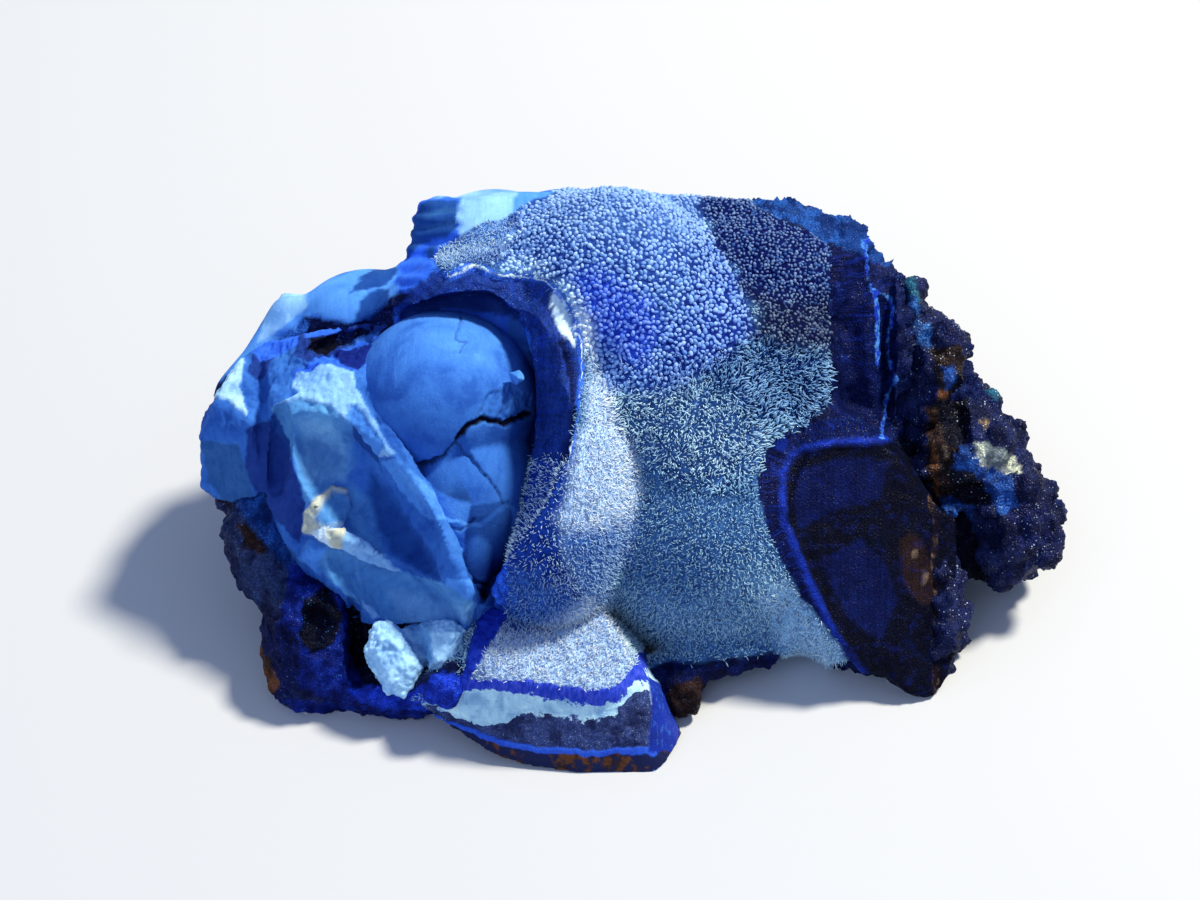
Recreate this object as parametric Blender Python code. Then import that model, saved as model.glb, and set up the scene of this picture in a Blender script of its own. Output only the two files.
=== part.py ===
"""Azurite specimen, one grown-together piece, 80 mm across.

A velvet-skinned azurite nodule whose left half has broken open over chalky inner
domes, with a flat cross-section and rough crystalline matrix on its right.

Places are given on the show face, in millimetres: u to the right, v up the face,
w out of it.  The finished rock is then leant back into the way it lies, +Z up,
with its origin on the ground at the centre of its box.
"""

import bpy
import bmesh
import math
import random
from mathutils import Matrix, Vector, noise

MM = 0.001

# How it lies
FACE_LEAN = math.radians(48)        # the show face leans back this far from level
GROUND_DEPTH = 17.0                 # ground below the middle of the show face, mm
BOX_CENTRE = (3.3, 2.3)             # centre of its box along X and Y before centring, mm

# Working sizes
FUSE_VOXEL = 0.60                   # voxel of the first fuse, mm
DETAIL_VOXEL = 0.50                 # voxel of the last fuse, mm
FACE_LIMIT = 9600                   # triangles kept in the finished solid
SEED = 11
SHARP_ANGLE = math.radians(50)
AZURITE_BLUE = (0.06, 0.16, 0.52, 1.0)

# Lobes: centre (u, v, w), radii (u, v, w), turn about w in degrees, all in mm
VELVET_LOBES = {
    "crown": ((1.0, 14.0, -5.0), (11.2, 10.6, 12.3), 0),
    "barrel": ((8.0, 2.5, -8.0), (13.0, 19.0, 15.3), 11),
    "belly": ((10.0, -7.0, -7.0), (13.5, 12.6, 14.6), 0),
    "right_velvet": ((15.0, 7.5, -6.0), (8.4, 9.5, 9.5), 0),
    "top_slope": ((16.0, 15.5, -9.0), (10.0, 8.6, 9.5), 0),
}
RIDGE_LOBES = {
    "ridge": ((-4.6, -3.5, -1.0), (8.7, 14.0, 13.5), 0),
    "ridge_shoulder": ((-4.8, 8.5, -3.0), (5.6, 7.4, 11.5), 12),
    "arch": ((-11.0, 14.0, -4.0), (9.5, 4.8, 9.0), 8),
    "arch_end": ((-18.0, 12.5, -4.5), (4.0, 3.2, 6.0), 25),
}
BACK_LOBES = {
    "top_left_dome": ((-23.0, 12.0, -9.0), (6.6, 5.2, 8.2), 20),
    "left_point": ((-29.5, 12.5, -8.5), (2.4, 2.4, 4.5), 0),
    "top_dome": ((-10.0, 18.5, -10.0), (7.6, 6.6, 9.0), 0),
    "top_dome_right": ((-3.5, 18.5, -10.5), (7.5, 6.7, 8.5), 0),
    "back_left": ((-20.0, 4.5, -12.5), (13.0, 9.5, 7.5), 0),
    "back_middle": ((-1.0, 7.5, -14.5), (15.0, 10.5, 7.5), 0),
    "back_right": ((19.0, 8.0, -12.5), (12.5, 9.5, 7.5), 0),
    "back_foot": ((1.0, -1.5, -17.0), (17.0, 8.0, 6.5), 0),
    "lump_bed": ((-15.5, -18.0, -0.5), (6.0, 5.0, 4.2), 0),
    "chalk_core": ((-24.0, -2.0, -6.0), (11.5, 11.0, 7.5), -30),
}
FOOT_LOBES = {
    "left_lump": ((-26.3, -17.8, -1.0), (5.2, 7.4, 6.2), 0),
    "left_shoulder": ((-31.2, -9.2, -4.0), (3.9, 6.0, 5.8), 15),
    "middle_lump": ((-18.5, -21.8, 0.5), (6.5, 3.0, 5.0), 0),
    "fibrous_lump": ((-14.0, -21.3, 5.5), (2.6, 1.8, 3.2), -15),
    "nodule": ((23.0, -8.5, -4.0), (8.8, 13.0, 12.0), 18),
    "nodule_tip": ((29.5, -18.0, -1.5), (3.4, 5.2, 4.8), 0),
}
INNER_DOMES = {
    "upper_dome": ((-14.4, 4.3, -1.0), (8.7, 8.6, 9.4), 0),
    "lower_dome": ((-12.6, -4.2, -1.5), (7.0, 8.8, 9.2), -16),
    "tongue": ((-11.6, -9.5, 1.0), (2.3, 4.6, 6.0), -14),
}
CHALK_LUMPS = {
    "oval_lump": ((-18.3, -18.3, 4.0), (2.4, 3.4, 2.8), 8),
    "wedge_lump": ((-13.4, -16.8, 4.0), (2.0, 2.5, 2.4), -20),
}

# Broken blocks of the left half and the shelf, by their corners (u, v, w) in mm
BLOCKS = {
    "end_block": [
        (-33.0, 9.0, -3.0), (-31.5, 10.0, -3.5), (-35.5, 4.5, 0.0), (-32.0, 2.5, 2.0),
        (-37.0, 1.0, -1.0), (-37.0, -3.5, -2.5), (-34.0, -5.0, -1.0), (-30.5, -4.0, 0.5),
        (-28.0, 4.5, -2.0), (-29.0, 9.5, -4.0), (-36.5, -4.5, -6.0), (-37.5, 3.0, -6.0),
    ],
    "chalk_block": [
        (-29.5, 3.5, 4.5), (-27.0, 4.5, 4.5), (-26.0, 6.5, 3.5), (-22.0, 7.0, 4.5),
        (-17.5, 0.0, 8.0), (-15.0, -5.5, 9.0), (-11.5, -12.5, 8.5), (-31.5, 10.0, -3.5),
        (-27.5, 10.5, -0.5), (-30.5, -4.5, 2.0), (-27.5, -9.5, 3.5), (-18.5, -16.5, 5.0),
        (-12.5, -16.5, 5.5), (-12.0, 14.0, -4.0), (-5.5, -14.0, -4.0), (-28.5, -14.0, -6.0),
    ],
    "shelf": [
        (-11.0, -14.5, 3.5), (0.0, -14.5, 3.5), (2.5, -19.0, 7.0), (0.0, -21.0, 9.0),
        (-5.5, -20.5, 9.2), (-9.5, -20.0, 8.8), (-11.0, -18.0, 7.5), (-12.5, -24.5, 6.0),
        (-9.0, -27.6, 6.2), (-2.5, -29.0, 6.5), (5.0, -29.0, 6.3), (7.0, -26.5, 5.0),
        (5.0, -21.5, 7.5), (9.5, -22.0, -1.0), (8.5, -26.0, 3.5), (-7.5, -14.0, -3.0),
        (3.5, -17.5, -3.0),
    ],
}

# Outlines on the show face, (u, v) in mm, and their depths w
MAIN_OUTLINE = [
    (-36.5, 6.0), (-33.5, 9.5), (-30.5, 14.5), (-28.0, 14.5), (-22.0, 16.5), (-18.5, 17.5),
    (-17.5, 21.5), (-15.5, 23.0), (-7.5, 24.5), (0.0, 24.0), (8.5, 24.0), (18.5, 23.2),
    (24.0, 22.0), (25.5, 19.0), (28.5, 16.5), (29.5, 12.0), (32.5, 11.0), (34.5, 8.5),
    (37.0, 4.5), (39.5, 1.5), (41.0, -2.5), (42.0, -5.0), (42.0, -11.0), (39.5, -12.8),
    (33.5, -12.0), (26.0, -14.0), (9.5, -15.5), (-18.5, -20.0), (-31.5, -13.5),
    (-34.0, -8.0), (-36.5, -4.5),
]
MAIN_DEPTHS = (-11.5, -4.5)
LEFT_OUTLINE = [
    (-34.0, -5.0), (-27.5, -2.5), (-18.5, -10.0), (-11.5, -17.5), (-11.5, -26.0),
    (-14.5, -24.5), (-19.5, -24.5), (-25.5, -25.5), (-28.5, -25.0), (-29.5, -22.0),
    (-31.0, -20.5), (-31.2, -15.0), (-31.5, -10.5), (-33.5, -7.5),
]
LEFT_DEPTHS = (-6.0, 0.5)
TIP_OUTLINE = [
    (20.0, -2.0), (33.0, -6.0), (33.0, -14.0), (33.5, -17.5), (32.3, -20.0), (32.0, -21.5),
    (30.5, -23.2), (27.5, -22.2), (26.0, -20.5), (25.0, -21.0), (22.5, -17.5), (19.0, -13.0),
]
TIP_DEPTHS = (-5.0, 2.0)
CAVITY_OUTLINE = [
    (-18.0, 12.5), (-14.0, 13.8), (-10.0, 14.0), (-7.0, 11.5), (-5.8, 7.0), (-5.8, 1.0),
    (-7.0, -5.5), (-8.5, -10.0), (-10.5, -14.0), (-12.0, -10.0), (-15.0, -3.5),
    (-18.5, 2.0), (-20.8, 6.0), (-20.6, 9.5),
]
CAVITY_FLOOR = -1.0
RIM_OUTLINE = [
    (-18.5, 14.0), (-14.3, 16.2), (-9.7, 16.6), (-4.9, 14.2), (-2.6, 9.6), (-2.0, 2.5),
    (-4.5, -4.5), (-8.0, -9.8), (-10.5, -14.0), (-12.0, -10.0), (-15.0, -3.5),
    (-18.5, 2.0), (-20.8, 6.0), (-20.8, 9.8),
]
RIM_DEPTHS = (4.5, 10.5)            # broken rim, from the cavity edge out to the skin

# Flat broken faces: the outline they take away, and the plane they leave
NODULE_OUTLINE = [
    (21.5, 3.5), (17.5, 2.2), (15.2, 0.6), (14.2, -3.5), (15.2, -8.0), (17.2, -11.5),
    (20.2, -15.5), (25.0, -22.0), (36.0, -25.0), (37.0, 2.0),
]
NODULE_FACE = {"edge_u": 14.2, "edge_depth": 6.5, "fall": 0.36}
BAND_OUTLINE = [
    (20.6, 22.0), (21.2, 20.0), (22.3, 14.0), (22.6, 9.0), (21.5, 3.0), (27.5, 3.0), (27.5, 19.0),
]
BAND_FACE = {"edge_u": 21.2, "edge_depth": 3.0, "fall": 1.25}
CUT_TOP = 30.0                      # cutters reach this far out of the show face, mm

# Conchoidal scoops, pits and the deep groove: centre, radii, turn
SCOOPS = {
    "upper_scoop": ((-22.0, -3.6, 10.0), (11.6, 4.7, 8.0), -46),
    "lower_scoop": ((-18.7, -13.3, 9.0), (9.0, 3.8, 7.4), -35),
    "left_scoop": ((-29.5, -0.5, 7.0), (1.9, 5.5, 6.2), -8),
    "top_groove": ((-22.5, 10.6, 3.5), (5.6, 1.8, 5.5), 24),
    "crevice": ((-22.3, -17.3, 6.0), (1.1, 4.6, 6.5), 4),
    "hollow": ((-25.5, -15.5, 6.5), (2.2, 2.2, 3.6), 0),
    "matrix_hollow": ((33.0, 3.2, -0.5), (1.8, 3.2, 4.0), 0),
    "matrix_slot": ((34.0, -4.2, -0.5), (2.8, 1.4, 4.0), 0),
}

# Rough crystalline matrix: round lumps over a few ellipsoids
LUMPY_PATCHES = {
    "matrix_upper": ((28.0, 9.5, -6.5), (4.4, 7.8, 4.8), 26),
    "matrix_bump": ((32.3, 11.0, -5.5), (2.4, 2.6, 3.2), 8),
    "matrix_middle": ((34.5, 1.5, -6.5), (6.0, 7.6, 5.2), 32),
    "matrix_end": ((39.0, -7.0, -6.0), (4.4, 5.6, 4.8), 26),
    "matrix_tip": ((31.0, -14.5, -2.5), (2.2, 6.0, 4.0), 12),
    "matrix_back": ((29.0, 1.0, -12.0), (9.0, 9.0, 5.0), 26),
}
LUMP_SIZES = (1.0, 2.1)
LUMP_SINK = 0.93                    # how far out on its ellipsoid a lump sits

# Roughness of the skin, mm: the grain size and how far each kind of surface strays
GRAIN = 2.2
ROUGHNESS = {"matrix": 0.38, "velvet": 0.10}


def clear_scene():
    for obj in list(bpy.data.objects):
        bpy.data.objects.remove(obj, do_unlink=True)


def object_from(bm, name):
    mesh = bpy.data.meshes.new(name)
    bm.to_mesh(mesh)
    bm.free()
    obj = bpy.data.objects.new(name, mesh)
    bpy.context.scene.collection.objects.link(obj)
    return obj


def bake(obj):
    """Replaces the object's mesh with what its modifiers make of it."""
    bpy.context.view_layer.update()
    evaluated = obj.evaluated_get(bpy.context.evaluated_depsgraph_get())
    mesh = bpy.data.meshes.new_from_object(evaluated)
    obj.modifiers.clear()
    obj.data = mesh


def add_lobe(bm, centre, radii, turn=0.0, fineness=4):
    """An ellipsoid on the show face, turned about the way out of it."""
    place = (
        Matrix.Translation(Vector(centre) * MM)
        @ Matrix.Rotation(math.radians(turn), 4, "Z")
        @ Matrix.Diagonal((*(Vector(radii) * MM), 1.0))
    )
    bmesh.ops.create_icosphere(bm, subdivisions=fineness, radius=1.0, matrix=place)


def add_slab(bm, outline, depths):
    """An outline on the show face, extruded between two depths."""
    low, high = depths
    ring = [bm.verts.new(Vector((u, v, low)) * MM) for u, v in outline]
    face = bm.faces.new(ring)
    raised = bmesh.ops.extrude_face_region(bm, geom=[face])["geom"]
    top = [item for item in raised if isinstance(item, bmesh.types.BMVert)]
    bmesh.ops.translate(bm, verts=top, vec=Vector((0.0, 0.0, high - low)) * MM)


def add_block(bm, corners):
    """The convex block round a few corners."""
    verts = [bm.verts.new(Vector(corner) * MM) for corner in corners]
    made = bmesh.ops.convex_hull(bm, input=verts)
    spare = [item for item in made["geom_interior"] if isinstance(item, bmesh.types.BMVert)]
    bmesh.ops.delete(bm, geom=spare, context="VERTS")


def finish_shell(bm):
    bmesh.ops.triangulate(bm, faces=bm.faces[:])
    bmesh.ops.recalc_face_normals(bm, faces=bm.faces[:])


def fuse(obj, voxel, smoothing=0):
    """Joins all the overlapping shells of an object into one skin."""
    remesh = obj.modifiers.new("fuse", "REMESH")
    remesh.mode = "VOXEL"
    remesh.voxel_size = voxel * MM
    if smoothing:
        smooth = obj.modifiers.new("ease", "SMOOTH")
        smooth.factor = 0.5
        smooth.iterations = smoothing
    bake(obj)


def join_into(obj, others):
    """Puts the meshes of other objects into one object and removes them."""
    bm = bmesh.new()
    bm.from_mesh(obj.data)
    for other in others:
        bm.from_mesh(other.data)
        bpy.data.objects.remove(other, do_unlink=True)
    bm.to_mesh(obj.data)
    bm.free()


def cut(obj, cutter):
    """Takes a cutter away from an object with an exact Boolean."""
    finish = obj.modifiers.new("cut", "BOOLEAN")
    finish.operation = "DIFFERENCE"
    finish.solver = "EXACT"
    finish.object = cutter
    bake(obj)
    bpy.data.objects.remove(cutter, do_unlink=True)


def lumpy_skin(bm, rng, centre, radii, count, sizes):
    """An ellipsoid with small round lumps all over it."""
    add_lobe(bm, centre, [radius * LUMP_SINK for radius in radii])
    for _ in range(count):
        way = Vector([rng.gauss(0.0, 1.0) for _ in range(3)]).normalized()
        spot = [centre[i] + way[i] * radii[i] * LUMP_SINK for i in range(3)]
        size = rng.uniform(*sizes)
        add_lobe(bm, spot, (size, size * rng.uniform(0.8, 1.2), size), 0, 3)


def ellipsoids(name, *groups):
    bm = bmesh.new()
    for lobes in groups:
        for centre, radii, turn in lobes.values():
            add_lobe(bm, centre, radii, turn)
    finish_shell(bm)
    return object_from(bm, name)


def rounded_body():
    rock = ellipsoids("azurite_specimen", VELVET_LOBES, RIDGE_LOBES, BACK_LOBES, FOOT_LOBES)
    bm = bmesh.new()
    add_slab(bm, MAIN_OUTLINE, MAIN_DEPTHS)
    add_slab(bm, LEFT_OUTLINE, LEFT_DEPTHS)
    add_slab(bm, TIP_OUTLINE, TIP_DEPTHS)
    finish_shell(bm)
    join_into(rock, [object_from(bm, "slabs")])
    fuse(rock, FUSE_VOXEL, smoothing=10)
    return rock


def broken_blocks():
    bm = bmesh.new()
    for corners in BLOCKS.values():
        add_block(bm, corners)
    finish_shell(bm)
    return object_from(bm, "broken_blocks")


def cavity_cutter():
    bm = bmesh.new()
    add_slab(bm, CAVITY_OUTLINE, (CAVITY_FLOOR, CUT_TOP))
    finish_shell(bm)
    return object_from(bm, "cavity_cutter")


def rim_cutter():
    """Bevels the broken rim between the cavity's edge and the outer skin."""
    bm = bmesh.new()
    low, high = RIM_DEPTHS
    rings = []
    for outline, depth in ((CAVITY_OUTLINE, low), (RIM_OUTLINE, high), (RIM_OUTLINE, CUT_TOP)):
        rings.append([bm.verts.new(Vector((u, v, depth)) * MM) for u, v in outline])
    bm.faces.new(rings[0])
    bm.faces.new(rings[-1])
    count = len(CAVITY_OUTLINE)
    for near, far in zip(rings, rings[1:]):
        for i in range(count):
            j = (i + 1) % count
            bm.faces.new((near[i], near[j], far[j], far[i]))
    finish_shell(bm)
    return object_from(bm, "rim_cutter")


def face_cutter(name, outline, face):
    """Everything above a flat broken face that falls away towards the right."""
    bm = bmesh.new()
    low = []
    for u, v in outline:
        low.append((u, v, face["edge_depth"] - face["fall"] * (u - face["edge_u"])))
    add_block(bm, low + [(u, v, CUT_TOP) for u, v in outline])
    finish_shell(bm)
    return object_from(bm, name)


def matrix_lumps():
    rng = random.Random(SEED)
    bm = bmesh.new()
    for centre, radii, count in LUMPY_PATCHES.values():
        lumpy_skin(bm, rng, centre, radii, count, LUMP_SIZES)
    finish_shell(bm)
    return object_from(bm, "matrix_lumps")


def ramp(value, start, end):
    """0 before start, 1 past end, and a straight line between them."""
    return min(max((value - start) / (end - start), 0.0), 1.0)


def matrix_share(u, v, w):
    """1 on the rough matrix at the right end, the lower left and the back, 0 on the rest."""
    right = ramp(u, 25.5, 28.0) * (1.0 - ramp(w - 4.0, 0.0, 2.0))
    lower_left = ramp(-v, 12.5, 15.0) * ramp(-u, 20.0, 22.0)
    back = ramp(-w, 8.0, 11.0)
    return max(right, lower_left, back)


def roughen(obj):
    """Strays the skin along its normals by seeded noise."""
    bm = bmesh.new()
    bm.from_mesh(obj.data)
    bm.normal_update()
    for vert in bm.verts:
        place = vert.co / MM
        share = matrix_share(*place)
        reach = ROUGHNESS["matrix"] * share + ROUGHNESS["velvet"] * (1.0 - share)
        stray = noise.fractal(place / GRAIN + Vector((SEED, 0, 0)), 0.8, 2.0, 3)
        vert.co += vert.normal * stray * reach * MM
    bm.to_mesh(obj.data)
    bm.free()


def thin_out(obj, limit):
    """Fewer triangles, kept where the form needs them."""
    decimate = obj.modifiers.new("thin out", "DECIMATE")
    decimate.ratio = limit / (2.0 * len(obj.data.polygons))
    bake(obj)


def lay_down(obj):
    """Leans the rock back, cuts it flat where it stands, and centres it on its origin."""
    bm = bmesh.new()
    bm.from_mesh(obj.data)
    bmesh.ops.transform(bm, verts=bm.verts, matrix=Matrix.Rotation(FACE_LEAN, 4, "X"))
    shift = Vector((-BOX_CENTRE[0], -BOX_CENTRE[1], GROUND_DEPTH)) * MM
    bmesh.ops.translate(bm, verts=bm.verts, vec=shift)
    made = bmesh.ops.bisect_plane(
        bm, geom=bm.verts[:] + bm.edges[:] + bm.faces[:], dist=1e-7,
        plane_co=(0, 0, 0), plane_no=(0, 0, 1), clear_inner=True,
    )
    edges = [item for item in made["geom_cut"] if isinstance(item, bmesh.types.BMEdge)]
    bmesh.ops.edgenet_fill(bm, edges=edges)
    finish_shell(bm)
    bm.to_mesh(obj.data)
    bm.free()


def dress(obj):
    """Smooth shading over the round forms and a deep azurite blue."""
    obj.data.shade_smooth()
    obj.data.set_sharp_from_angle(angle=SHARP_ANGLE)
    material = bpy.data.materials.new("azurite")
    material.use_nodes = True
    shader = material.node_tree.nodes["Principled BSDF"]
    shader.inputs["Base Color"].default_value = AZURITE_BLUE
    shader.inputs["Roughness"].default_value = 0.75
    shader.inputs["Metallic"].default_value = 0.0
    obj.data.materials.append(material)


def main():
    clear_scene()
    rock = rounded_body()
    join_into(rock, [broken_blocks()])
    fuse(rock, FUSE_VOXEL)
    cut(rock, cavity_cutter())
    cut(rock, rim_cutter())
    cut(rock, face_cutter("nodule_cutter", NODULE_OUTLINE, NODULE_FACE))
    cut(rock, face_cutter("band_cutter", BAND_OUTLINE, BAND_FACE))
    for name, scoop in SCOOPS.items():
        cut(rock, ellipsoids(name + "_cutter", {name: scoop}))
    join_into(rock, [ellipsoids("inner_domes", INNER_DOMES, CHALK_LUMPS), matrix_lumps()])
    fuse(rock, DETAIL_VOXEL, smoothing=1)
    roughen(rock)
    thin_out(rock, FACE_LIMIT)
    lay_down(rock)
    dress(rock)


main()
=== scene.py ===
import bpy
import math
import random
import numpy as np
from mathutils import Matrix, Vector, noise
from mathutils.bvhtree import BVHTree


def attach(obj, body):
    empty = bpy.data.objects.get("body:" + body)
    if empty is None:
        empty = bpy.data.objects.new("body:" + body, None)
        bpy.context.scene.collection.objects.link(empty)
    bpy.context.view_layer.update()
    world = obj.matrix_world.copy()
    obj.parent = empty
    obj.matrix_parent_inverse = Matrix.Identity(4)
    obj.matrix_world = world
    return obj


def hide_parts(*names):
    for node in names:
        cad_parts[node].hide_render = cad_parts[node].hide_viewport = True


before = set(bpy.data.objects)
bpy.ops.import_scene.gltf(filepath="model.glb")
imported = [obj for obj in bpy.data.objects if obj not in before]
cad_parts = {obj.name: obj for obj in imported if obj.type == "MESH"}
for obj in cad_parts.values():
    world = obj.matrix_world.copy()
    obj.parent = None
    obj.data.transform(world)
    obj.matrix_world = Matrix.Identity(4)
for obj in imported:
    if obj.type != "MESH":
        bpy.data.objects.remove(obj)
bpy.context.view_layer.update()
bpy.ops.object.select_all(action="DESELECT")

# Places are in mm on the show face: u to the right, v up it, w out of it.
# "Seen" places are where a point lands on the plane w = 0 from the camera.
mm = 0.001
mergeDistance = 0.000001             # metres
faceLean = math.radians(48)          # the show face leans back this far
groundDepth = 17.0                   # the ground under the middle of the show face
groundBlock = 0.2                    # metres, cuts off all that is under the ground
boxCentre = (3.3, 2.3)
viewDistance = 221.4                 # camera to the middle of the show face
pictureWidth = 1200
pixelSize = 0.092                    # mm seen by one pixel at the show face
standing = (Matrix.Translation(Vector((-boxCentre[0], -boxCentre[1], groundDepth)) * mm)
            @ Matrix.Rotation(faceLean, 4, "X"))
farAway = 9.0                        # for fields that count mm from a line, off its face


def srgb(red, green, blue):
    # a screen colour of 0 to 255 as the linear colour that shaders take
    parts = [value / 255 for value in (red, green, blue)]
    return tuple(p / 12.92 if p <= 0.04045 else ((p + 0.055) / 1.055) ** 2.4
                 for p in parts) + (1.0,)


palette = {
    "night": srgb(6, 9, 30),
    "navy": srgb(9, 20, 70),
    "deepBlue": srgb(14, 34, 120),
    "royal": srgb(26, 58, 190),
    "bright": srgb(52, 110, 236),
    "violetBlue": srgb(66, 84, 214),
    "denim": srgb(30, 74, 150),
    "slate": srgb(44, 92, 158),
    "midBlue": srgb(52, 108, 196),
    "chalkBlue": srgb(80, 146, 232),
    "paleBlue": srgb(140, 194, 246),
    "ice": srgb(176, 222, 252),
    "frost": srgb(214, 238, 252),
    "teal": srgb(26, 84, 112),
    "cream": srgb(200, 204, 186),
    "tan": srgb(120, 100, 82),
    "limonite": srgb(100, 60, 36),
    "umber": srgb(40, 26, 26),
    "crust": srgb(20, 30, 76),
    "greyBlue": srgb(40, 54, 96),
    "ink": srgb(32, 62, 142),
    "dusty": srgb(80, 142, 206),
    "haze": srgb(104, 160, 214),
}


# Mesh helpers

def makeActive(obj):
    bpy.ops.object.select_all(action="DESELECT")
    obj.select_set(True)
    bpy.context.view_layer.objects.active = obj


def applyModifier(obj, kind, **values):
    makeActive(obj)
    modifier = obj.modifiers.new(kind.lower(), kind)
    for name, value in values.items():
        setattr(modifier, name, value)
    bpy.ops.object.modifier_apply(modifier=modifier.name)


def editAll(obj, operator, **values):
    # one edit step on the whole mesh
    makeActive(obj)
    bpy.ops.object.mode_set(mode="EDIT")
    bpy.ops.mesh.select_all(action="SELECT")
    operator(**values)
    bpy.ops.object.mode_set(mode="OBJECT")


def joinAll(objects, name):
    makeActive(objects[0])
    for obj in objects:
        obj.select_set(True)
    if len(objects) > 1:
        bpy.ops.object.join()
    joined = bpy.context.active_object
    joined.name = name
    joined.data.name = name
    return joined


def applyPlace(obj):
    makeActive(obj)
    bpy.ops.object.transform_apply(location=True, rotation=True, scale=True)


def newObject(name, data):
    obj = bpy.data.objects.new(name, data)
    bpy.context.scene.collection.objects.link(obj)
    return obj


def meshObject(name, points, faces=()):
    mesh = bpy.data.meshes.new(name)
    mesh.from_pydata([tuple(Vector(point) * mm) for point in points], [], list(faces))
    return newObject(name, mesh)


def copyMesh(obj, name):
    return newObject(name, obj.data.copy())


def addLobe(centre, radii, turn=0, fineness=5):
    # an ellipsoid, turned about the way out of the show face
    bpy.ops.mesh.primitive_ico_sphere_add(
        subdivisions=fineness, radius=1.0, location=Vector(centre) * mm,
        rotation=(0, 0, math.radians(turn)), scale=Vector(radii) * mm)
    obj = bpy.context.active_object
    applyPlace(obj)
    return obj


def addLobes(places, fineness=5):
    return [addLobe(*place, fineness=fineness) for place in places.values()]


def tidyShell(obj):
    editAll(obj, bpy.ops.mesh.remove_doubles, threshold=mergeDistance)
    editAll(obj, bpy.ops.mesh.normals_make_consistent, inside=False)


def addSlab(outline, depths):
    # an outline on the show face, pulled out from one depth to the other
    low, high = depths
    obj = meshObject("slab", [(u, v, low) for u, v in outline], [range(len(outline))])
    editAll(obj, bpy.ops.mesh.extrude_region_move,
            TRANSFORM_OT_translate={"value": (0, 0, (high - low) * mm)})
    tidyShell(obj)
    return obj


def addBlock(corners):
    # the convex block round its corners
    obj = meshObject("block", corners)
    editAll(obj, bpy.ops.mesh.convex_hull)
    tidyShell(obj)
    return obj


def fuse(obj, voxel):
    applyModifier(obj, "REMESH", mode="VOXEL", voxel_size=voxel * mm)


def ease(obj, times, factor=0.5):
    applyModifier(obj, "SMOOTH", factor=factor, iterations=times)


def cutAway(obj, cutter):
    applyModifier(obj, "BOOLEAN", operation="DIFFERENCE", solver="MANIFOLD", object=cutter)
    bpy.data.objects.remove(cutter, do_unlink=True)


def placesOf(obj):
    places = np.empty(len(obj.data.vertices) * 3)
    obj.data.vertices.foreach_get("co", places)
    return places.reshape(-1, 3) / mm


def normalsOf(obj):
    normals = np.empty(len(obj.data.vertices) * 3, np.float32)
    obj.data.vertex_normals.foreach_get("vector", normals)
    return normals.reshape(-1, 3).astype(float)


def movePoints(obj, places):
    obj.data.vertices.foreach_set("co", (places * mm).ravel())
    obj.data.update()


def swell(obj, amounts):
    # pushes each point out along its normal by its own amount in mm
    movePoints(obj, placesOf(obj) + normalsOf(obj) * np.asarray(amounts)[:, None])


def setLayer(obj, name, kind, slot, values):
    layer = obj.data.attributes.new(name, kind, "POINT")
    layer.data.foreach_set(slot, np.asarray(values, np.float32).ravel())


def setField(obj, name, values):
    # a number for each point, which materials and scattering read
    setLayer(obj, name, "FLOAT", "value", values)


def setColours(obj, name, colours):
    filled = np.ones((len(colours), 4), np.float32)
    filled[:, :3] = colours
    setLayer(obj, name, "FLOAT_COLOR", "color", filled)


def ramp(values, start, end):
    share = np.clip((values - start) / (end - start), 0.0, 1.0)
    return share * share * (3 - 2 * share)


def closeTo(gap, far, near):
    # 1 where a gap either way is small, 0 from the far distance on
    return ramp(-np.abs(gap), -far, -near)


def fractal(places, grain, octaves=3, shift=0.0):
    # seeded noise, about -1 to 1, with lumps of the size of the grain
    offset = Vector((shift, shift * 0.7, -shift))
    return np.array([noise.fractal(Vector(place) / grain + offset, 0.9, 2.0, octaves)
                     for place in places])


def cells(places, grain, shift=0.0):
    # 1 in the middle of each round cell, 0 where two of them meet
    offset = Vector((shift, shift * 0.7, -shift))
    gaps = [noise.voronoi(Vector(place) / grain + offset)[0] for place in places]
    gaps = np.array([(near, second) for near, second, _, _ in gaps])
    return np.clip((gaps[:, 1] - gaps[:, 0]) * 1.6, 0, 1)


def lumps(places, layers):
    # layers of round lumps: their size, noise shift, level that stays put and height
    return sum(height * (cells(places, size, shift) - level)
               for size, shift, level, height in layers)


def seen(places):
    return places[:, :2] / (1 - places[:, 2:] / viewDistance)


def fray(spots, places, amount, alongU, grain, octaves=2):
    # pushes spots about, so that what is drawn on them gets ragged borders
    alongV = fractal(places, grain, octaves, 8.0)
    return spots + amount * np.stack([alongU, alongV], axis=1)


def insideOutline(spots, outline):
    # signed distance in mm to an outline, above zero inside
    corners = np.array(outline, float)
    nearest = np.full(len(spots), np.inf)
    inside = np.zeros(len(spots), bool)
    for a, b in zip(corners, np.roll(corners, -1, axis=0)):
        edge = b - a
        along = np.clip(((spots - a) @ edge) / (edge @ edge), 0, 1)
        gap = np.linalg.norm(spots - a - along[:, None] * edge, axis=1)
        nearest = np.minimum(nearest, gap)
        crosses = (a[1] > spots[:, 1]) != (b[1] > spots[:, 1])
        rise = edge[1] if edge[1] != 0 else 1e-9
        inside ^= crosses & (spots[:, 0] < edge[0] * (spots[:, 1] - a[1]) / rise + a[0])
    return np.where(inside, nearest, -nearest)


def within(spots, outline, start, end, wander=0.0):
    # 0 to 1 across an outline's border, which the wander moves about
    return ramp(insideOutline(spots, outline) + wander, start, end)


def evenColour(shade, spots):
    return np.tile(np.array(shade[:3]), (len(spots), 1))


def layOver(colours, shade, share):
    # one shade over the colours, by a share for each point
    share = share[:, None]
    return colours * (1 - share) + np.array(shade[:3]) * share


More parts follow.
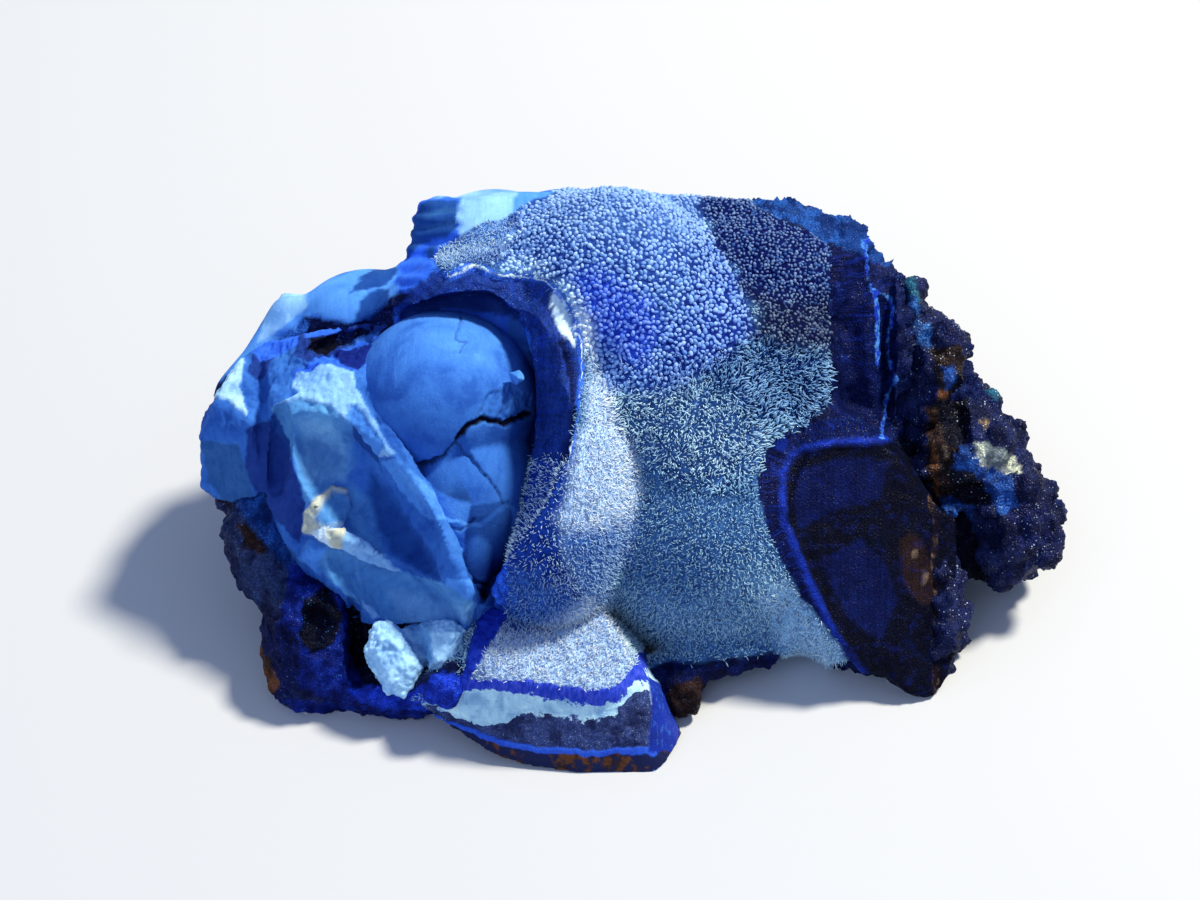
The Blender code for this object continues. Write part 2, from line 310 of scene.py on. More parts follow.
def paint(spots, base, patches, soft=0.12):
    # lays colour patches over a base; later ones cover earlier ones
    colours = evenColour(base, spots)
    for shade, outline in patches:
        colours = layOver(colours, palette[shade], within(spots, outline, -soft, soft))
    return colours


def besideLine(spots, line):
    # signed distance to a line through points, above zero on its left, and its mm run there
    corners = np.array(line, float)
    best = np.full(len(spots), np.inf)
    signed = np.zeros(len(spots))
    run = np.zeros(len(spots))
    done = 0.0
    for a, b in zip(corners[:-1], corners[1:]):
        edge = b - a
        length = np.linalg.norm(edge)
        along = np.clip(((spots - a) @ edge) / length ** 2, 0, 1)
        away = spots - a - along[:, None] * edge
        gap = np.linalg.norm(away, axis=1)
        side = np.where(edge[0] * away[:, 1] - edge[1] * away[:, 0] < 0, -1.0, 1.0)
        closer = gap < best
        best = np.where(closer, gap, best)
        signed = np.where(closer, gap * side, signed)
        run = np.where(closer, done + along * length, run)
        done += length
    return signed, run


def lobeLevel(places, centre, radii, turn=0):
    # about the distance in mm outside an ellipsoid, below zero inside
    angle = math.radians(turn)
    local = places - np.array(centre, float)
    u = local[:, 0] * math.cos(angle) + local[:, 1] * math.sin(angle)
    v = -local[:, 0] * math.sin(angle) + local[:, 1] * math.cos(angle)
    scaled = np.stack([u / radii[0], v / radii[1], local[:, 2] / radii[2]], axis=1)
    return (np.linalg.norm(scaled, axis=1) - 1.0) * min(radii)


def standUp(obj, material):
    # from the show face to the way it rests, cut flat where it meets the ground
    obj.matrix_world = standing @ obj.matrix_world
    applyPlace(obj)
    places = placesOf(obj)
    if places[:, 2].min() < 0 and "grainTint" in obj.data.attributes:
        places[:, 2] = np.maximum(places[:, 2], 0)
        movePoints(obj, places)
    elif places[:, 2].min() < 0:
        bpy.ops.mesh.primitive_cube_add(size=groundBlock, location=(0, 0, -groundBlock / 2))
        cutAway(obj, bpy.context.active_object)
    obj.data.shade_smooth()
    obj.data.materials.clear()
    obj.data.materials.append(material)
    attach(obj, "root")
    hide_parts("azurite_specimen")
    print(obj.name, sum(len(face.vertices) - 2 for face in obj.data.polygons), "triangles")


# Node helpers

def setSocket(tree, socket, value):
    # a link from another node, or a value on the socket itself
    if isinstance(value, bpy.types.NodeSocket):
        tree.links.new(value, socket)
    else:
        socket.default_value = value


def addNode(tree, kind, sockets=None, **settings):
    made = tree.nodes.new(kind)
    for name, value in settings.items():
        setattr(made, name, value)
    for name, value in (sockets or {}).items():
        setSocket(tree, made.inputs[name], value)
    return made


def mathNode(tree, operation, *values, clamp=False):
    sockets = dict(enumerate(values))
    return addNode(tree, "ShaderNodeMath", sockets, operation=operation,
                   use_clamp=clamp).outputs[0]


def times(tree, first, second):
    return mathNode(tree, "MULTIPLY", first, second)


def mixColours(tree, share, first, second, blend="MIX"):
    return addNode(tree, "ShaderNodeMix", {0: share, 6: first, 7: second},
                   data_type="RGBA", blend_type=blend).outputs[2]


def tinted(tree, colour, tint):
    return mixColours(tree, 1.0, colour, (*tint, 1.0), "MULTIPLY")


def mixNumbers(tree, share, first, second):
    return addNode(tree, "ShaderNodeMix", {0: share, 2: first, 3: second},
                   data_type="FLOAT").outputs[0]


def stretch(tree, value, start, end, low=0.0, high=1.0):
    return addNode(tree, "ShaderNodeMapRange",
                   {"Value": value, "From Min": start, "From Max": end,
                    "To Min": low, "To Max": high}, interpolation_type="SMOOTHSTEP").outputs[0]


def band(tree, value, start, end, soft):
    # 1 between two values, fading over the soft width
    rise = stretch(tree, value, start - soft, start + soft)
    fall = stretch(tree, value, end - soft, end + soft)
    return mathNode(tree, "SUBTRACT", rise, fall, clamp=True)


def noiseNode(tree, vector, scale, detail=3.0, rough=0.55, distortion=0.0):
    return addNode(tree, "ShaderNodeTexNoise",
                   {"Vector": vector, "Scale": scale, "Detail": detail, "Roughness": rough,
                    "Distortion": distortion}).outputs["Fac"]


def scaledPlace(tree, vector, scale, turn=(0.0, 0.0, 0.0)):
    return addNode(tree, "ShaderNodeMapping",
                   {"Vector": vector, "Rotation": turn, "Scale": scale}).outputs[0]


def field(tree, name, output="Fac"):
    return addNode(tree, "ShaderNodeAttribute", attribute_name=name).outputs[output]


def startGroup(name, inputs, outputs, kind="ShaderNodeTree"):
    tree = bpy.data.node_groups.new(name, kind)
    for way, sockets in (("INPUT", inputs), ("OUTPUT", outputs)):
        for socketName, socketKind in sockets:
            tree.interface.new_socket(socketName, in_out=way,
                                      socket_type="NodeSocket" + socketKind)
    return tree, addNode(tree, "NodeGroupInput").outputs, addNode(tree, "NodeGroupOutput").inputs


def useGroup(tree, group, sockets):
    return addNode(tree, "ShaderNodeGroup", sockets, node_tree=group).outputs


def startMaterial(name):
    material = bpy.data.materials.new(name)
    material.use_nodes = True
    tree = material.node_tree
    place = addNode(tree, "ShaderNodeTexCoord").outputs["Object"]
    return material, tree, tree.nodes["Principled BSDF"], place


def finishShader(tree, shader, finish, colour, roughness, height):
    bump = addNode(tree, "ShaderNodeBump", {"Height": height, "Strength": finish["bump"],
                                            "Distance": finish["relief"]})
    for name, value in (("Base Color", colour), ("Normal", bump.outputs[0]),
                        ("Roughness", roughness), ("Specular IOR Level", finish["shine"])):
        setSocket(tree, shader.inputs[name], value)


# Camera, light and floor

studio = {
    "sensorWidth": 36,
    "nearClip": 0.005,
    "keyWay": (0.49, 0.25, 0.83),    # where the key light stands
    "keyDistance": 0.9,
    "keySize": 0.15,
    "keyPower": 14.0,
    "keyColour": (1.0, 0.93, 0.74),
    "fillWay": (-0.55, -0.9, 0.75),
    "fillDistance": 0.8,
    "fillSize": 0.7,
    "fillPower": 1.6,
    "skyColour": (0.54, 0.68, 1.0, 1.0),
    "skyStrength": 0.46,
    "floorSize": 3.0,
    "floorColour": (0.52, 0.54, 0.59, 1.0),
    "floorRoughness": 0.9,
}


def makeView():
    data = bpy.data.cameras.new("viewCamera")
    data.sensor_width = studio["sensorWidth"]
    data.angle = 2 * math.atan(pictureWidth / 2 * pixelSize / viewDistance)
    data.clip_start = studio["nearClip"]
    camera = newObject("viewCamera", data)
    camera.matrix_world = standing @ Matrix.Translation((0, 0, viewDistance * mm))
    bpy.context.scene.camera = camera


def addSoftLight(name, colour):
    way = Vector(studio[name + "Way"])
    bpy.ops.object.light_add(type="AREA", location=way.normalized() * studio[name + "Distance"])
    light = bpy.context.active_object
    light.name = name + "Light"
    light.data.shape = "DISK"
    light.data.size = studio[name + "Size"]
    light.data.energy = studio[name + "Power"]
    light.data.color = colour
    light.rotation_euler = way.to_track_quat("Z", "Y").to_euler()


def makeStudio():
    addSoftLight("key", studio["keyColour"])
    addSoftLight("fill", studio["skyColour"][:3])
    world = bpy.data.worlds.new("studioSky")
    bpy.context.scene.world = world
    world.use_nodes = True
    background = world.node_tree.nodes["Background"]
    background.inputs["Color"].default_value = studio["skyColour"]
    background.inputs["Strength"].default_value = studio["skyStrength"]
    bpy.context.scene.view_settings.view_transform = "Standard"
    bpy.ops.mesh.primitive_plane_add(size=studio["floorSize"], location=(0, 0, 0))
    floor = bpy.context.active_object
    floor.name = "floor"
    material, _, shader, _ = startMaterial("paleFloor")
    shader.inputs["Base Color"].default_value = studio["floorColour"]
    shader.inputs["Roughness"].default_value = studio["floorRoughness"]
    floor.data.materials.append(material)


makeView()
makeStudio()
print("camera, lights and floor are ready")


# The rock's shape: lobes, blocks and broken faces

lobes = {
    "velvet": {
        "crown": ((1.0, 14.0, -5.0), (11.2, 10.6, 12.3), 0),
        "barrel": ((8.0, 2.5, -8.0), (13.0, 19.0, 15.3), 11),
        "belly": ((10.0, -7.0, -7.0), (13.5, 12.6, 14.6), 0),
        "bellyCorner": ((17.0, -14.6, -3.0), (7.0, 4.4, 5.0), 0),
        "rightVelvet": ((15.0, 7.5, -6.0), (8.4, 9.5, 9.5), 0),
        "topSlope": ((16.0, 15.5, -9.0), (10.0, 8.6, 9.5), 0),
        "topCorner": ((23.0, 18.4, -6.6), (3.2, 3.7, 4.4), 0),
    },
    "ridge": {
        "ridge": ((-4.6, -3.5, -1.0), (8.7, 14.0, 13.5), 0),
        "ridgeShoulder": ((-4.8, 8.5, -3.0), (5.6, 7.4, 11.5), 12),
        "arch": ((-11.0, 14.0, -4.0), (9.5, 4.8, 9.0), 8),
        "archEnd": ((-18.0, 12.5, -4.5), (4.0, 3.2, 6.0), 25),
    },
    "back": {
        "topLeftDome": ((-23.0, 12.0, -9.0), (6.6, 5.2, 8.2), 20),
        "leftPoint": ((-29.4, 11.8, -8.5), (2.0, 1.9, 4.2), 0),
        "darkCorner": ((-15.2, 21.6, -7.0), (2.7, 2.7, 3.4), 0),
        "topDome": ((-10.0, 18.5, -10.0), (7.6, 6.6, 9.0), 0),
        "topDomeRight": ((-3.5, 18.5, -10.5), (7.5, 6.7, 8.5), 0),
        "backLeft": ((-20.0, 4.5, -12.5), (13.0, 9.5, 7.5), 0),
        "backMiddle": ((-1.0, 7.5, -14.5), (15.0, 10.5, 7.5), 0),
        "backRight": ((19.0, 8.0, -12.5), (12.5, 9.5, 7.5), 0),
        "backFoot": ((1.0, -1.5, -17.0), (17.0, 8.0, 6.5), 0),
        "lumpBed": ((-15.5, -18.7, -1.2), (6.0, 4.5, 3.8), 0),
        "chalkCore": ((-24.0, -2.0, -6.2), (11.2, 10.6, 7.2), -30),
    },
    "foot": {
        "leftLump": ((-26.3, -17.8, -1.0), (5.2, 7.4, 6.2), 0),
        "leftShoulder": ((-31.2, -9.2, -4.0), (3.9, 6.0, 5.8), 15),
        "middleLump": ((-18.5, -21.8, 0.5), (6.5, 3.0, 5.0), 0),
        "edgeLump": ((-12.2, -19.2, 5.6), (1.4, 1.9, 2.2), 0),
        "fibrousLump": ((-14.0, -21.3, 5.5), (2.6, 1.8, 3.2), -15),
        "nodule": ((23.0, -8.5, -4.0), (8.8, 13.0, 12.0), 18),
        "noduleTip": ((29.5, -18.0, -1.5), (3.4, 5.2, 4.8), 0),
        "bandBed": ((26.2, 9.5, -6.4), (4.4, 8.6, 4.9), 0),
        "bellyLedge": ((9.0, -19.8, 0.0), (8.4, 1.7, 2.6), 8),
        "footKnob": ((7.4, -22.6, 2.2), (2.2, 2.2, 2.0), 0),
    },
    "domes": {
        "upperDome": ((-14.4, 4.3, -1.0), (8.7, 8.6, 9.4), 0),
        "lowerDome": ((-12.6, -4.2, -1.5), (7.0, 8.8, 9.2), -16),
        "tongue": ((-11.6, -9.5, 1.0), (2.3, 4.6, 6.0), -14),
    },
}

blocks = {
    "endBlock": [
        (-33.0, 9.0, -3.0), (-31.5, 10.0, -3.5), (-35.5, 4.5, 0.0), (-32.0, 2.5, 2.0),
        (-37.0, 1.0, -1.0), (-37.0, -3.5, -2.5), (-34.0, -5.0, -1.0), (-30.5, -4.0, 0.5),
        (-28.0, 4.5, -2.0), (-29.0, 9.5, -4.0), (-36.5, -4.5, -6.0), (-37.5, 3.0, -6.0),
    ],
    "chalkBlock": [
        (-29.5, 3.5, 4.5), (-27.0, 4.5, 4.5), (-26.0, 6.5, 3.5), (-22.0, 7.0, 4.5),
        (-17.5, 0.0, 8.0), (-15.0, -5.5, 9.0), (-11.5, -12.5, 8.5), (-31.5, 10.0, -3.5),
        (-27.5, 10.5, -0.5), (-30.5, -4.5, 2.0), (-27.5, -9.5, 3.5), (-18.5, -16.5, 5.0),
        (-12.5, -16.5, 5.5), (-12.0, 14.0, -4.0), (-5.5, -14.0, -4.0), (-28.5, -14.0, -6.0),
    ],
    "spike": [
        (-30.4, 15.2, -8.5), (-27.4, 14.8, -8.5), (-30.3, 14.2, -5.5), (-27.7, 13.8, -5.0),
        (-31.3, 11.3, -4.5), (-28.0, 10.8, -3.4), (-31.5, 9.8, -7.0), (-27.5, 9.8, -9.5),
    ],
    "shelf": [
        (-17.6, -22.3, 4.6), (-11.0, -14.5, 3.5), (0.0, -14.5, 3.5), (2.5, -19.0, 7.0),
        (0.0, -21.0, 9.0), (-5.5, -20.5, 9.2), (-9.5, -20.0, 8.8), (-11.0, -18.0, 7.5),
        (-12.5, -24.5, 6.0),
        (-9.0, -27.6, 6.2), (-2.5, -29.0, 6.5), (5.0, -29.0, 6.3), (7.0, -26.5, 5.0),
        (5.0, -21.5, 7.5), (5.9, -21.4, -1.0), (7.3, -25.8, 3.5), (-7.5, -14.0, -3.0),
        (3.5, -17.5, -3.0),
    ],
}

outlines = {
    "main": [
        (-36.5, 6.0), (-33.5, 9.5), (-30.5, 14.5), (-28.0, 14.5), (-22.0, 16.5), (-18.5, 17.5),
        (-17.5, 21.5), (-15.5, 23.0), (-7.5, 24.5), (0.0, 24.0), (8.5, 24.0), (18.5, 23.2),
        (24.0, 22.0), (25.5, 19.0), (28.5, 16.5), (29.5, 12.0), (32.5, 11.0), (34.5, 8.5),
        (37.0, 4.5), (39.5, 1.5), (41.0, -2.5), (42.0, -5.0), (42.0, -11.0), (39.5, -12.8),
        (33.5, -12.0), (26.0, -14.0), (9.5, -15.5), (-18.5, -20.0), (-31.5, -13.5),
        (-34.0, -8.0), (-36.5, -4.5),
    ],
    "left": [
        (-34.0, -5.0), (-27.5, -2.5), (-18.5, -10.0), (-11.5, -17.5), (-11.5, -26.0),
        (-14.5, -24.5), (-19.5, -24.5), (-25.5, -25.5), (-28.5, -25.0), (-29.5, -22.0),
        (-31.0, -20.5), (-31.2, -15.0), (-31.5, -10.5), (-33.5, -7.5),
    ],
    "tip": [
        (20.0, -2.0), (33.0, -6.0), (33.0, -14.0), (33.5, -17.5), (32.3, -20.0), (32.0, -21.5),
        (30.5, -23.2), (27.5, -22.2), (26.0, -20.5), (25.0, -21.0), (22.5, -17.5), (19.0, -13.0),
    ],
    "cavity": [
        (-18.0, 12.5), (-14.0, 13.8), (-10.0, 14.0), (-7.0, 11.5), (-5.8, 7.0), (-5.8, 1.0),
        (-7.0, -5.5), (-8.5, -10.0), (-10.5, -14.0), (-12.0, -10.0), (-15.0, -3.5),
        (-18.5, 2.0), (-20.8, 6.0), (-20.6, 9.5),
    ],
    "rim": [
        (-18.5, 14.0), (-14.3, 16.2), (-9.7, 16.6), (-4.9, 14.2), (-2.6, 9.6), (-2.0, 2.5),
        (-4.5, -4.5), (-8.0, -9.8), (-10.5, -14.0), (-12.0, -10.0), (-15.0, -3.5),
        (-18.5, 2.0), (-20.8, 6.0), (-20.8, 9.8),
    ],
    "nodule": [
        (21.5, 3.5), (17.5, 2.2), (15.2, 0.6), (14.2, -3.5), (15.2, -8.0), (17.2, -11.5),
        (20.2, -15.5), (25.0, -22.0), (36.0, -25.0), (37.0, 2.0),
    ],
    "band": [
        (20.6, 22.0), (21.2, 20.0), (22.3, 14.0), (22.6, 9.0), (21.5, 3.0), (27.5, 3.0),
        (27.5, 19.0),
    ],
}

rockShape = {
    "firstVoxel": 0.60,              # rounds and joins the lobes
    "easing": 10,
    "cutVoxel": 0.34,                # while the broken faces are cut
    "mainDepths": (-11.5, -4.5),
    "leftDepths": (-6.0, 0.5),
    "tipDepths": (-5.0, 2.0),
    "cavityFloor": -1.0,
    "rimDepths": (4.5, 10.5),
    "noduleFace": (14.2, 6.5, 0.36),   # u of its edge, depth there, fall to the right
    "bandFace": (21.2, 3.0, 1.25),
    "cutTop": 30.0,
    "scoops": {
        "upperScoop": ((-22.0, -3.6, 10.0), (11.6, 4.7, 8.0), -46),
        "lowerScoop": ((-18.7, -13.3, 9.0), (9.0, 3.8, 7.4), -35),
        "leftScoop": ((-29.5, -0.5, 7.0), (1.9, 5.5, 6.2), -8),
        "topGroove": ((-22.5, 10.6, 3.5), (5.6, 1.8, 5.5), 24),
        "crevice": ((-22.3, -17.3, 6.0), (1.1, 4.6, 6.5), 4),
        "hollow": ((-25.5, -15.5, 6.5), (2.2, 2.2, 3.6), 0),
    },
}


def roundedBody():
    parts = []
    for group in ("velvet", "ridge", "back", "foot"):
        parts += addLobes(lobes[group])
    for name in ("main", "left", "tip"):
        parts.append(addSlab(outlines[name], rockShape[name + "Depths"]))
    body = joinAll(parts, "azuriteRock")
    fuse(body, rockShape["firstVoxel"])
    ease(body, rockShape["easing"])
    return body


def faceCutter(outline, face):
    # everything above a flat broken face that falls away to the right
    edgeU, edgeDepth, fall = face
    low = [(u, v, edgeDepth - fall * (u - edgeU)) for u, v in outline]
    high = [(u, v, rockShape["cutTop"]) for u, v in outline]
    return addBlock(low + high)


def rimCutter():
    # bevels the broken rim from the cavity's edge out to the skin
    low, high = rockShape["rimDepths"]
    rings = [(outlines["cavity"], low), (outlines["rim"], high),
             (outlines["rim"], rockShape["cutTop"])]
    points = [(u, v, depth) for outline, depth in rings for u, v in outline]
    count = len(outlines["rim"])
    faces = [range(count), range(2 * count, 3 * count)]
    for a in (0, count):
        for i in range(count):
            j = (i + 1) % count
            faces.append((a + i, a + j, a + count + j, a + count + i))
    cutter = meshObject("rimCutter", points, faces)
    tidyShell(cutter)
    return cutter


def cutCavity(body):
    cutAway(body, addSlab(outlines["cavity"], (rockShape["cavityFloor"], rockShape["cutTop"])))
    cutAway(body, rimCutter())


def cutScoops(body):
    for scoop in rockShape["scoops"].values():
        cutAway(body, addLobe(*scoop))


wholeBody = roundedBody()
skinTree = BVHTree.FromObject(wholeBody, bpy.context.evaluated_depsgraph_get())
print("the rounded body is fused")


def nearestSkin(places):
    # the spot on the unbroken skin that lies nearest to each point
    return np.array([skinTree.find_nearest(Vector(place) * mm)[0] / mm for place in places])


# Main rock: velvet, broken rim, nodule, banded edge and crust

rockDetail = {
    "voxel": 0.353,
    # how many painted glint highlights each broken face gets; the same field sets how strong the
    # fibres' bright streaks are
    "glitter": {"core": 0.12, "border": 0.60, "rim": 0.90, "bandLoss": 0.5},
    "velvet": [(-15.1, 17.3), (-14.7, 18.4), (-13.6, 19.3), (-11.2, 20.6), (-9.2, 21.0),
        (-6.0, 23.0), (-1.8, 24.7), (0.0, 26.7), (9.2, 27.6), (8.9, 24.8), (12.4, 23.6),
        (19.5, 19.9), (21.3, 18.6), (21.0, 4.1), (16.2, 0.6), (14.7, -1.2), (14.5, -4.4),
        (15.5, -7.5), (17.4, -10.6), (18.3, -13.4), (22.1, -18.0), (22.6, -19.5), (18.4, -19.7),
        (16.1, -18.6), (9.2, -19.4), (6.0, -19.3), (2.3, -21.2), (-12.0, -21.2), (-10.5, -16.4),
        (-9.7, -14.9), (-8.5, -14.4), (-8.4, -8.9), (-8.7, -6.4), (-8.1, -3.0), (-7.0, 0.2),
        (-5.1, 0.4), (-3.5, 0.9), (-2.5, 1.8), (-1.6, 6.9), (-1.7, 9.5), (-2.2, 11.9),
        (-3.1, 13.6), (-4.4, 15.1), (-5.6, 15.8), (-7.4, 16.2), (-9.6, 16.1), (-11.5, 17.2),
        (-14.0, 16.2), (-14.9, 17.1)],
    "beads": [(-9.2, 17.3), (-8.1, 19.3), (-7.7, 21.7), (-3.7, 26.2), (9.2, 28.5), (9.2, 24.8),
        (10.5, 19.7), (13.2, 15.3), (14.4, 11.0), (13.1, 9.0), (12.4, 9.7), (8.3, 6.6),
        (5.1, 5.3), (0.9, 4.6), (-0.4, 6.4), (-2.0, 12.7), (-4.4, 15.3), (-7.4, 16.4),
        (-9.6, 16.3), (-12.8, 16.9)],
    "slope": [(8.3, 25.8), (13.3, 23.9), (18.4, 21.6), (22.1, 18.9), (21.5, 13.8), (21.4, 9.0),
        (18.4, 9.4), (14.7, 10.7), (13.2, 14.9), (9.1, 22.5)],
    "blades": [(14.4, 10.9), (18.4, 9.6), (21.6, 9.2), (21.6, 3.7), (19.5, 2.8), (16.1, 0.5),
        (14.5, -1.8), (13.8, -4.6), (9.2, -3.5), (4.6, -1.8), (3.7, 0.9), (1.1, 2.3), (0.0, 5.3),
        (5.1, 5.5), (8.3, 6.8), (12.4, 9.7)],
    "rim": [(-19.1, 12.7), (-18.0, 14.2), (-14.9, 16.9), (-14.0, 16.2), (-11.5, 17.2),
        (-9.6, 16.0), (-7.4, 16.1), (-5.6, 15.7), (-4.4, 15.0), (-3.1, 13.5), (-2.2, 11.8),
        (-1.7, 9.4), (-1.6, 6.9), (-2.8, -0.6), (-4.0, -2.8), (-5.5, -4.6), (-7.4, -10.1),
        (-8.1, -14.4), (-8.5, -14.4), (-8.4, -8.9), (-8.7, -6.4), (-8.1, -3.0), (-6.9, 0.9),
        (-6.1, 2.0), (-6.5, 10.7), (-7.4, 12.0), (-9.1, 12.6), (-11.5, 13.0), (-14.0, 13.2),
        (-16.2, 12.8), (-17.8, 11.8)],
    "lipLine": [(-15.6, 17.3), (-14.0, 16.1), (-11.5, 17.2), (-9.6, 16.1), (-7.4, 16.1),
        (-5.6, 15.7), (-4.4, 15.0), (-3.1, 13.5), (-2.2, 11.8), (-1.7, 9.4), (-1.6, 6.9),
        (-2.8, -0.6)],
    "topCrust": [(8.3, 27.6), (13.3, 25.8), (28.1, 21.6), (28.1, 16.7), (24.3, 17.3),
        (21.2, 18.8), (18.4, 20.8), (13.3, 23.0), (11.1, 24.5), (9.2, 24.8)],
    "knobs": [(25.8, 19.7), (36.8, 19.7), (36.8, 0.9), (26.5, 0.9), (27.0, 3.9), (27.8, 6.3),
        (27.2, 10.1), (27.4, 13.6), (25.8, 15.1)],
    "grooveLine": [(-3.3, 10.1), (-2.5, 7.2), (-2.4, 4.6), (-2.7, 1.8), (-3.5, -1.1)],
    "nodeLine": [(28.1, 1.3), (24.8, 0.6), (21.6, 0.6), (19.0, 0.0), (17.8, -0.6), (17.0, -2.2),
        (17.1, -6.5), (21.2, -15.9), (25.1, -21.7)],
    "wavyA": [(24.3, 19.3), (24.7, 15.6), (25.5, 13.5), (25.5, 7.7)],
    "wavyB": [(24.6, 15.6), (25.3, 14.5), (26.5, 14.1), (27.1, 12.8), (26.6, 11.0), (26.4, 8.8),
        (27.3, 6.4), (26.4, 5.1), (25.9, 1.1)],
    "brownLine": [(29.9, 1.8), (30.8, -1.6), (30.6, -5.0), (31.1, -6.5), (30.8, -10.1),
        (31.1, -22.3)],
    "smoothTops": [
        [(-36.8, 4.1), (-35.3, 9.0), (-33.1, 12.0), (-30.9, 16.4), (-28.5, 15.8), (-24.8, 17.8),
            (-18.6, 18.4), (-18.0, 15.1), (-21.3, 12.1), (-22.9, 11.6), (-27.0, 12.4),
            (-29.5, 10.1)],
        [(-13.3, 18.4), (-13.5, 22.5), (-16.6, 22.5), (-16.3, 24.8), (-11.0, 26.9), (-0.7, 26.7),
            (-1.7, 24.3), (-3.7, 23.9), (-9.2, 20.8), (-11.2, 20.4)],
        [(-18.6, 14.5), (-18.6, 16.7), (-17.5, 21.6), (-16.2, 23.4), (-12.7, 23.2), (-12.7, 19.3),
            (-14.7, 18.4), (-15.1, 17.3), (-16.6, 15.3)],
        [(-4.8, 14.4), (-4.0, 14.7), (-2.9, 13.1), (-2.2, 11.0), (-2.4, 9.6), (-4.1, 12.4)],
        [(-8.5, 12.1), (-7.4, 11.8), (-6.5, 10.1), (-6.3, 6.8), (-7.0, 6.3), (-7.9, 7.7),
            (-8.6, 10.1)],
    ],
    "patches": [
        ("greyBlue", [(-37.7, 1.8), (-31.1, -4.6), (-28.3, -10.1), (-28.7, -15.6), (-31.1, -17.5),
            (-34.0, -10.1), (-36.8, -4.6)]),
        ("umber", [(-36.3, -1.7), (-33.5, -3.1), (-32.6, -4.4), (-34.5, -5.2), (-36.1, -3.9)]),
        ("umber", [(-33.7, -6.4), (-31.1, -7.2), (-30.2, -8.7), (-31.1, -9.8), (-32.8, -9.0)]),
        ("denim", [(-37.2, 0.9), (-32.2, -1.8), (-25.9, -11.5), (-27.6, -12.0), (-31.1, -8.3),
            (-35.5, -2.8)]),
        ("deepBlue", [(-28.5, -10.1), (-24.8, -12.9), (-21.0, -14.9), (-19.9, -22.1),
            (-22.1, -23.9), (-27.6, -22.1), (-29.9, -17.5)]),
        ("navy", [(-31.7, -13.8), (-27.6, -17.5), (-28.0, -22.1), (-30.4, -23.0), (-33.1, -18.4)]),
        # painted shade: near black in the carved hollow and in the crevice of the lower crust
        ("night", [(-27.6, -17.5), (-27.3, -13.8), (-25.2, -12.3), (-23.5, -14.9), (-24.4, -17.9),
            (-26.5, -18.9)]),
        ("night", [(-23.3, -13.6), (-21.0, -15.5), (-20.1, -22.1), (-21.7, -21.9), (-22.8, -18.4)]),
        ("royal", [(-23.5, -22.1), (-21.0, -21.7), (-17.5, -22.4), (-14.7, -20.1), (-11.4, -21.2),
            (-11.0, -23.5), (-14.7, -24.5), (-18.4, -24.5), (-22.1, -23.4)]),
        ("deepBlue", [(-30.0, -23.0), (-23.9, -23.4), (-18.4, -24.1), (-12.0, -24.1),
            (-12.0, -26.7), (-18.4, -26.2), (-27.6, -26.7)]),
        ("umber", [(-17.3, -24.5), (-8.7, -26.5), (-8.7, -28.5), (-14.7, -27.6)]),
        ("limonite", [(-33.1, -18.6), (-31.5, -17.8), (-29.6, -21.5), (-30.4, -23.0),
            (-32.2, -22.1)]),
        ("chalkBlue", [(-36.8, 4.6), (-35.4, 9.2), (-33.1, 12.1), (-31.1, 16.6), (-28.5, 17.3),
            (-24.8, 19.3), (-18.6, 19.3), (-18.0, 15.1), (-19.3, 14.0), (-21.3, 12.1),
            (-22.9, 11.6), (-27.0, 12.4), (-29.5, 10.1), (-32.0, 9.0)]),
        # painted light: the spike is painted pale, standing in for light on its top
        ("paleBlue", [(-31.6, 9.7), (-30.4, 14.2), (-29.3, 15.6), (-27.2, 15.6), (-26.9, 13.2),
            (-29.8, 10.9)]),
        # painted shadow: the two denim patches are the shadow the dark block casts on the top-left
        # dome
        ("denim", [(-23.0, 14.5), (-21.7, 16.2), (-19.1, 17.3), (-18.6, 16.4), (-19.7, 15.2),
            (-21.7, 14.7)]),
        ("denim", [(-22.6, 11.8), (-22.1, 13.8), (-20.4, 14.9), (-19.3, 14.7), (-19.5, 13.6),
            (-21.2, 12.0)]),
        ("chalkBlue", [(-31.6, 9.2), (-27.0, 12.1), (-27.3, 9.7), (-31.1, 8.1)]),
        ("paleBlue", [(-13.3, 18.4), (-13.5, 22.5), (-16.6, 22.5), (-16.3, 24.8), (-11.0, 27.6),
            (-5.1, 27.6), (-3.7, 24.4), (-6.4, 23.2), (-9.2, 20.8), (-11.2, 20.4)]),
        ("chalkBlue", [(-8.1, 21.5), (-7.9, 23.2), (-6.6, 24.8), (-3.7, 25.9), (0.4, 24.8),
            (-3.2, 22.6), (-5.1, 22.3), (-6.4, 21.0), (-8.7, 20.1)]),
        ("bright", [(-13.3, 18.8), (-8.1, 21.3), (-7.5, 20.6), (-10.1, 19.1), (-12.9, 18.0)]),
        ("bright", [(-18.6, 14.5), (-18.6, 16.7), (-17.5, 21.6), (-16.2, 23.4), (-12.7, 23.2),
            (-13.2, 21.9), (-12.9, 19.7), (-14.7, 18.4), (-15.1, 17.1), (-16.6, 15.1)]),
        ("bright", [(-19.0, 15.3), (-17.3, 18.8), (-17.5, 16.7), (-18.2, 14.7)]),
        ("denim", [(-18.0, 17.3), (-16.9, 22.1), (-15.8, 23.0), (-12.9, 22.8), (-13.2, 21.5),
            (-13.2, 20.1), (-16.6, 18.8)]),
        ("slate", [(-16.2, 21.7), (-14.7, 22.3), (-13.1, 22.4), (-13.2, 21.8), (-14.7, 21.7),
            (-16.0, 21.2)]),
        ("slate", [(-16.2, 20.6), (-13.2, 21.3), (-13.2, 20.9), (-15.9, 20.1)]),
        ("slate", [(-16.2, 18.2), (-15.6, 18.8), (-15.1, 18.5), (-15.3, 17.8), (-15.8, 17.7)]),
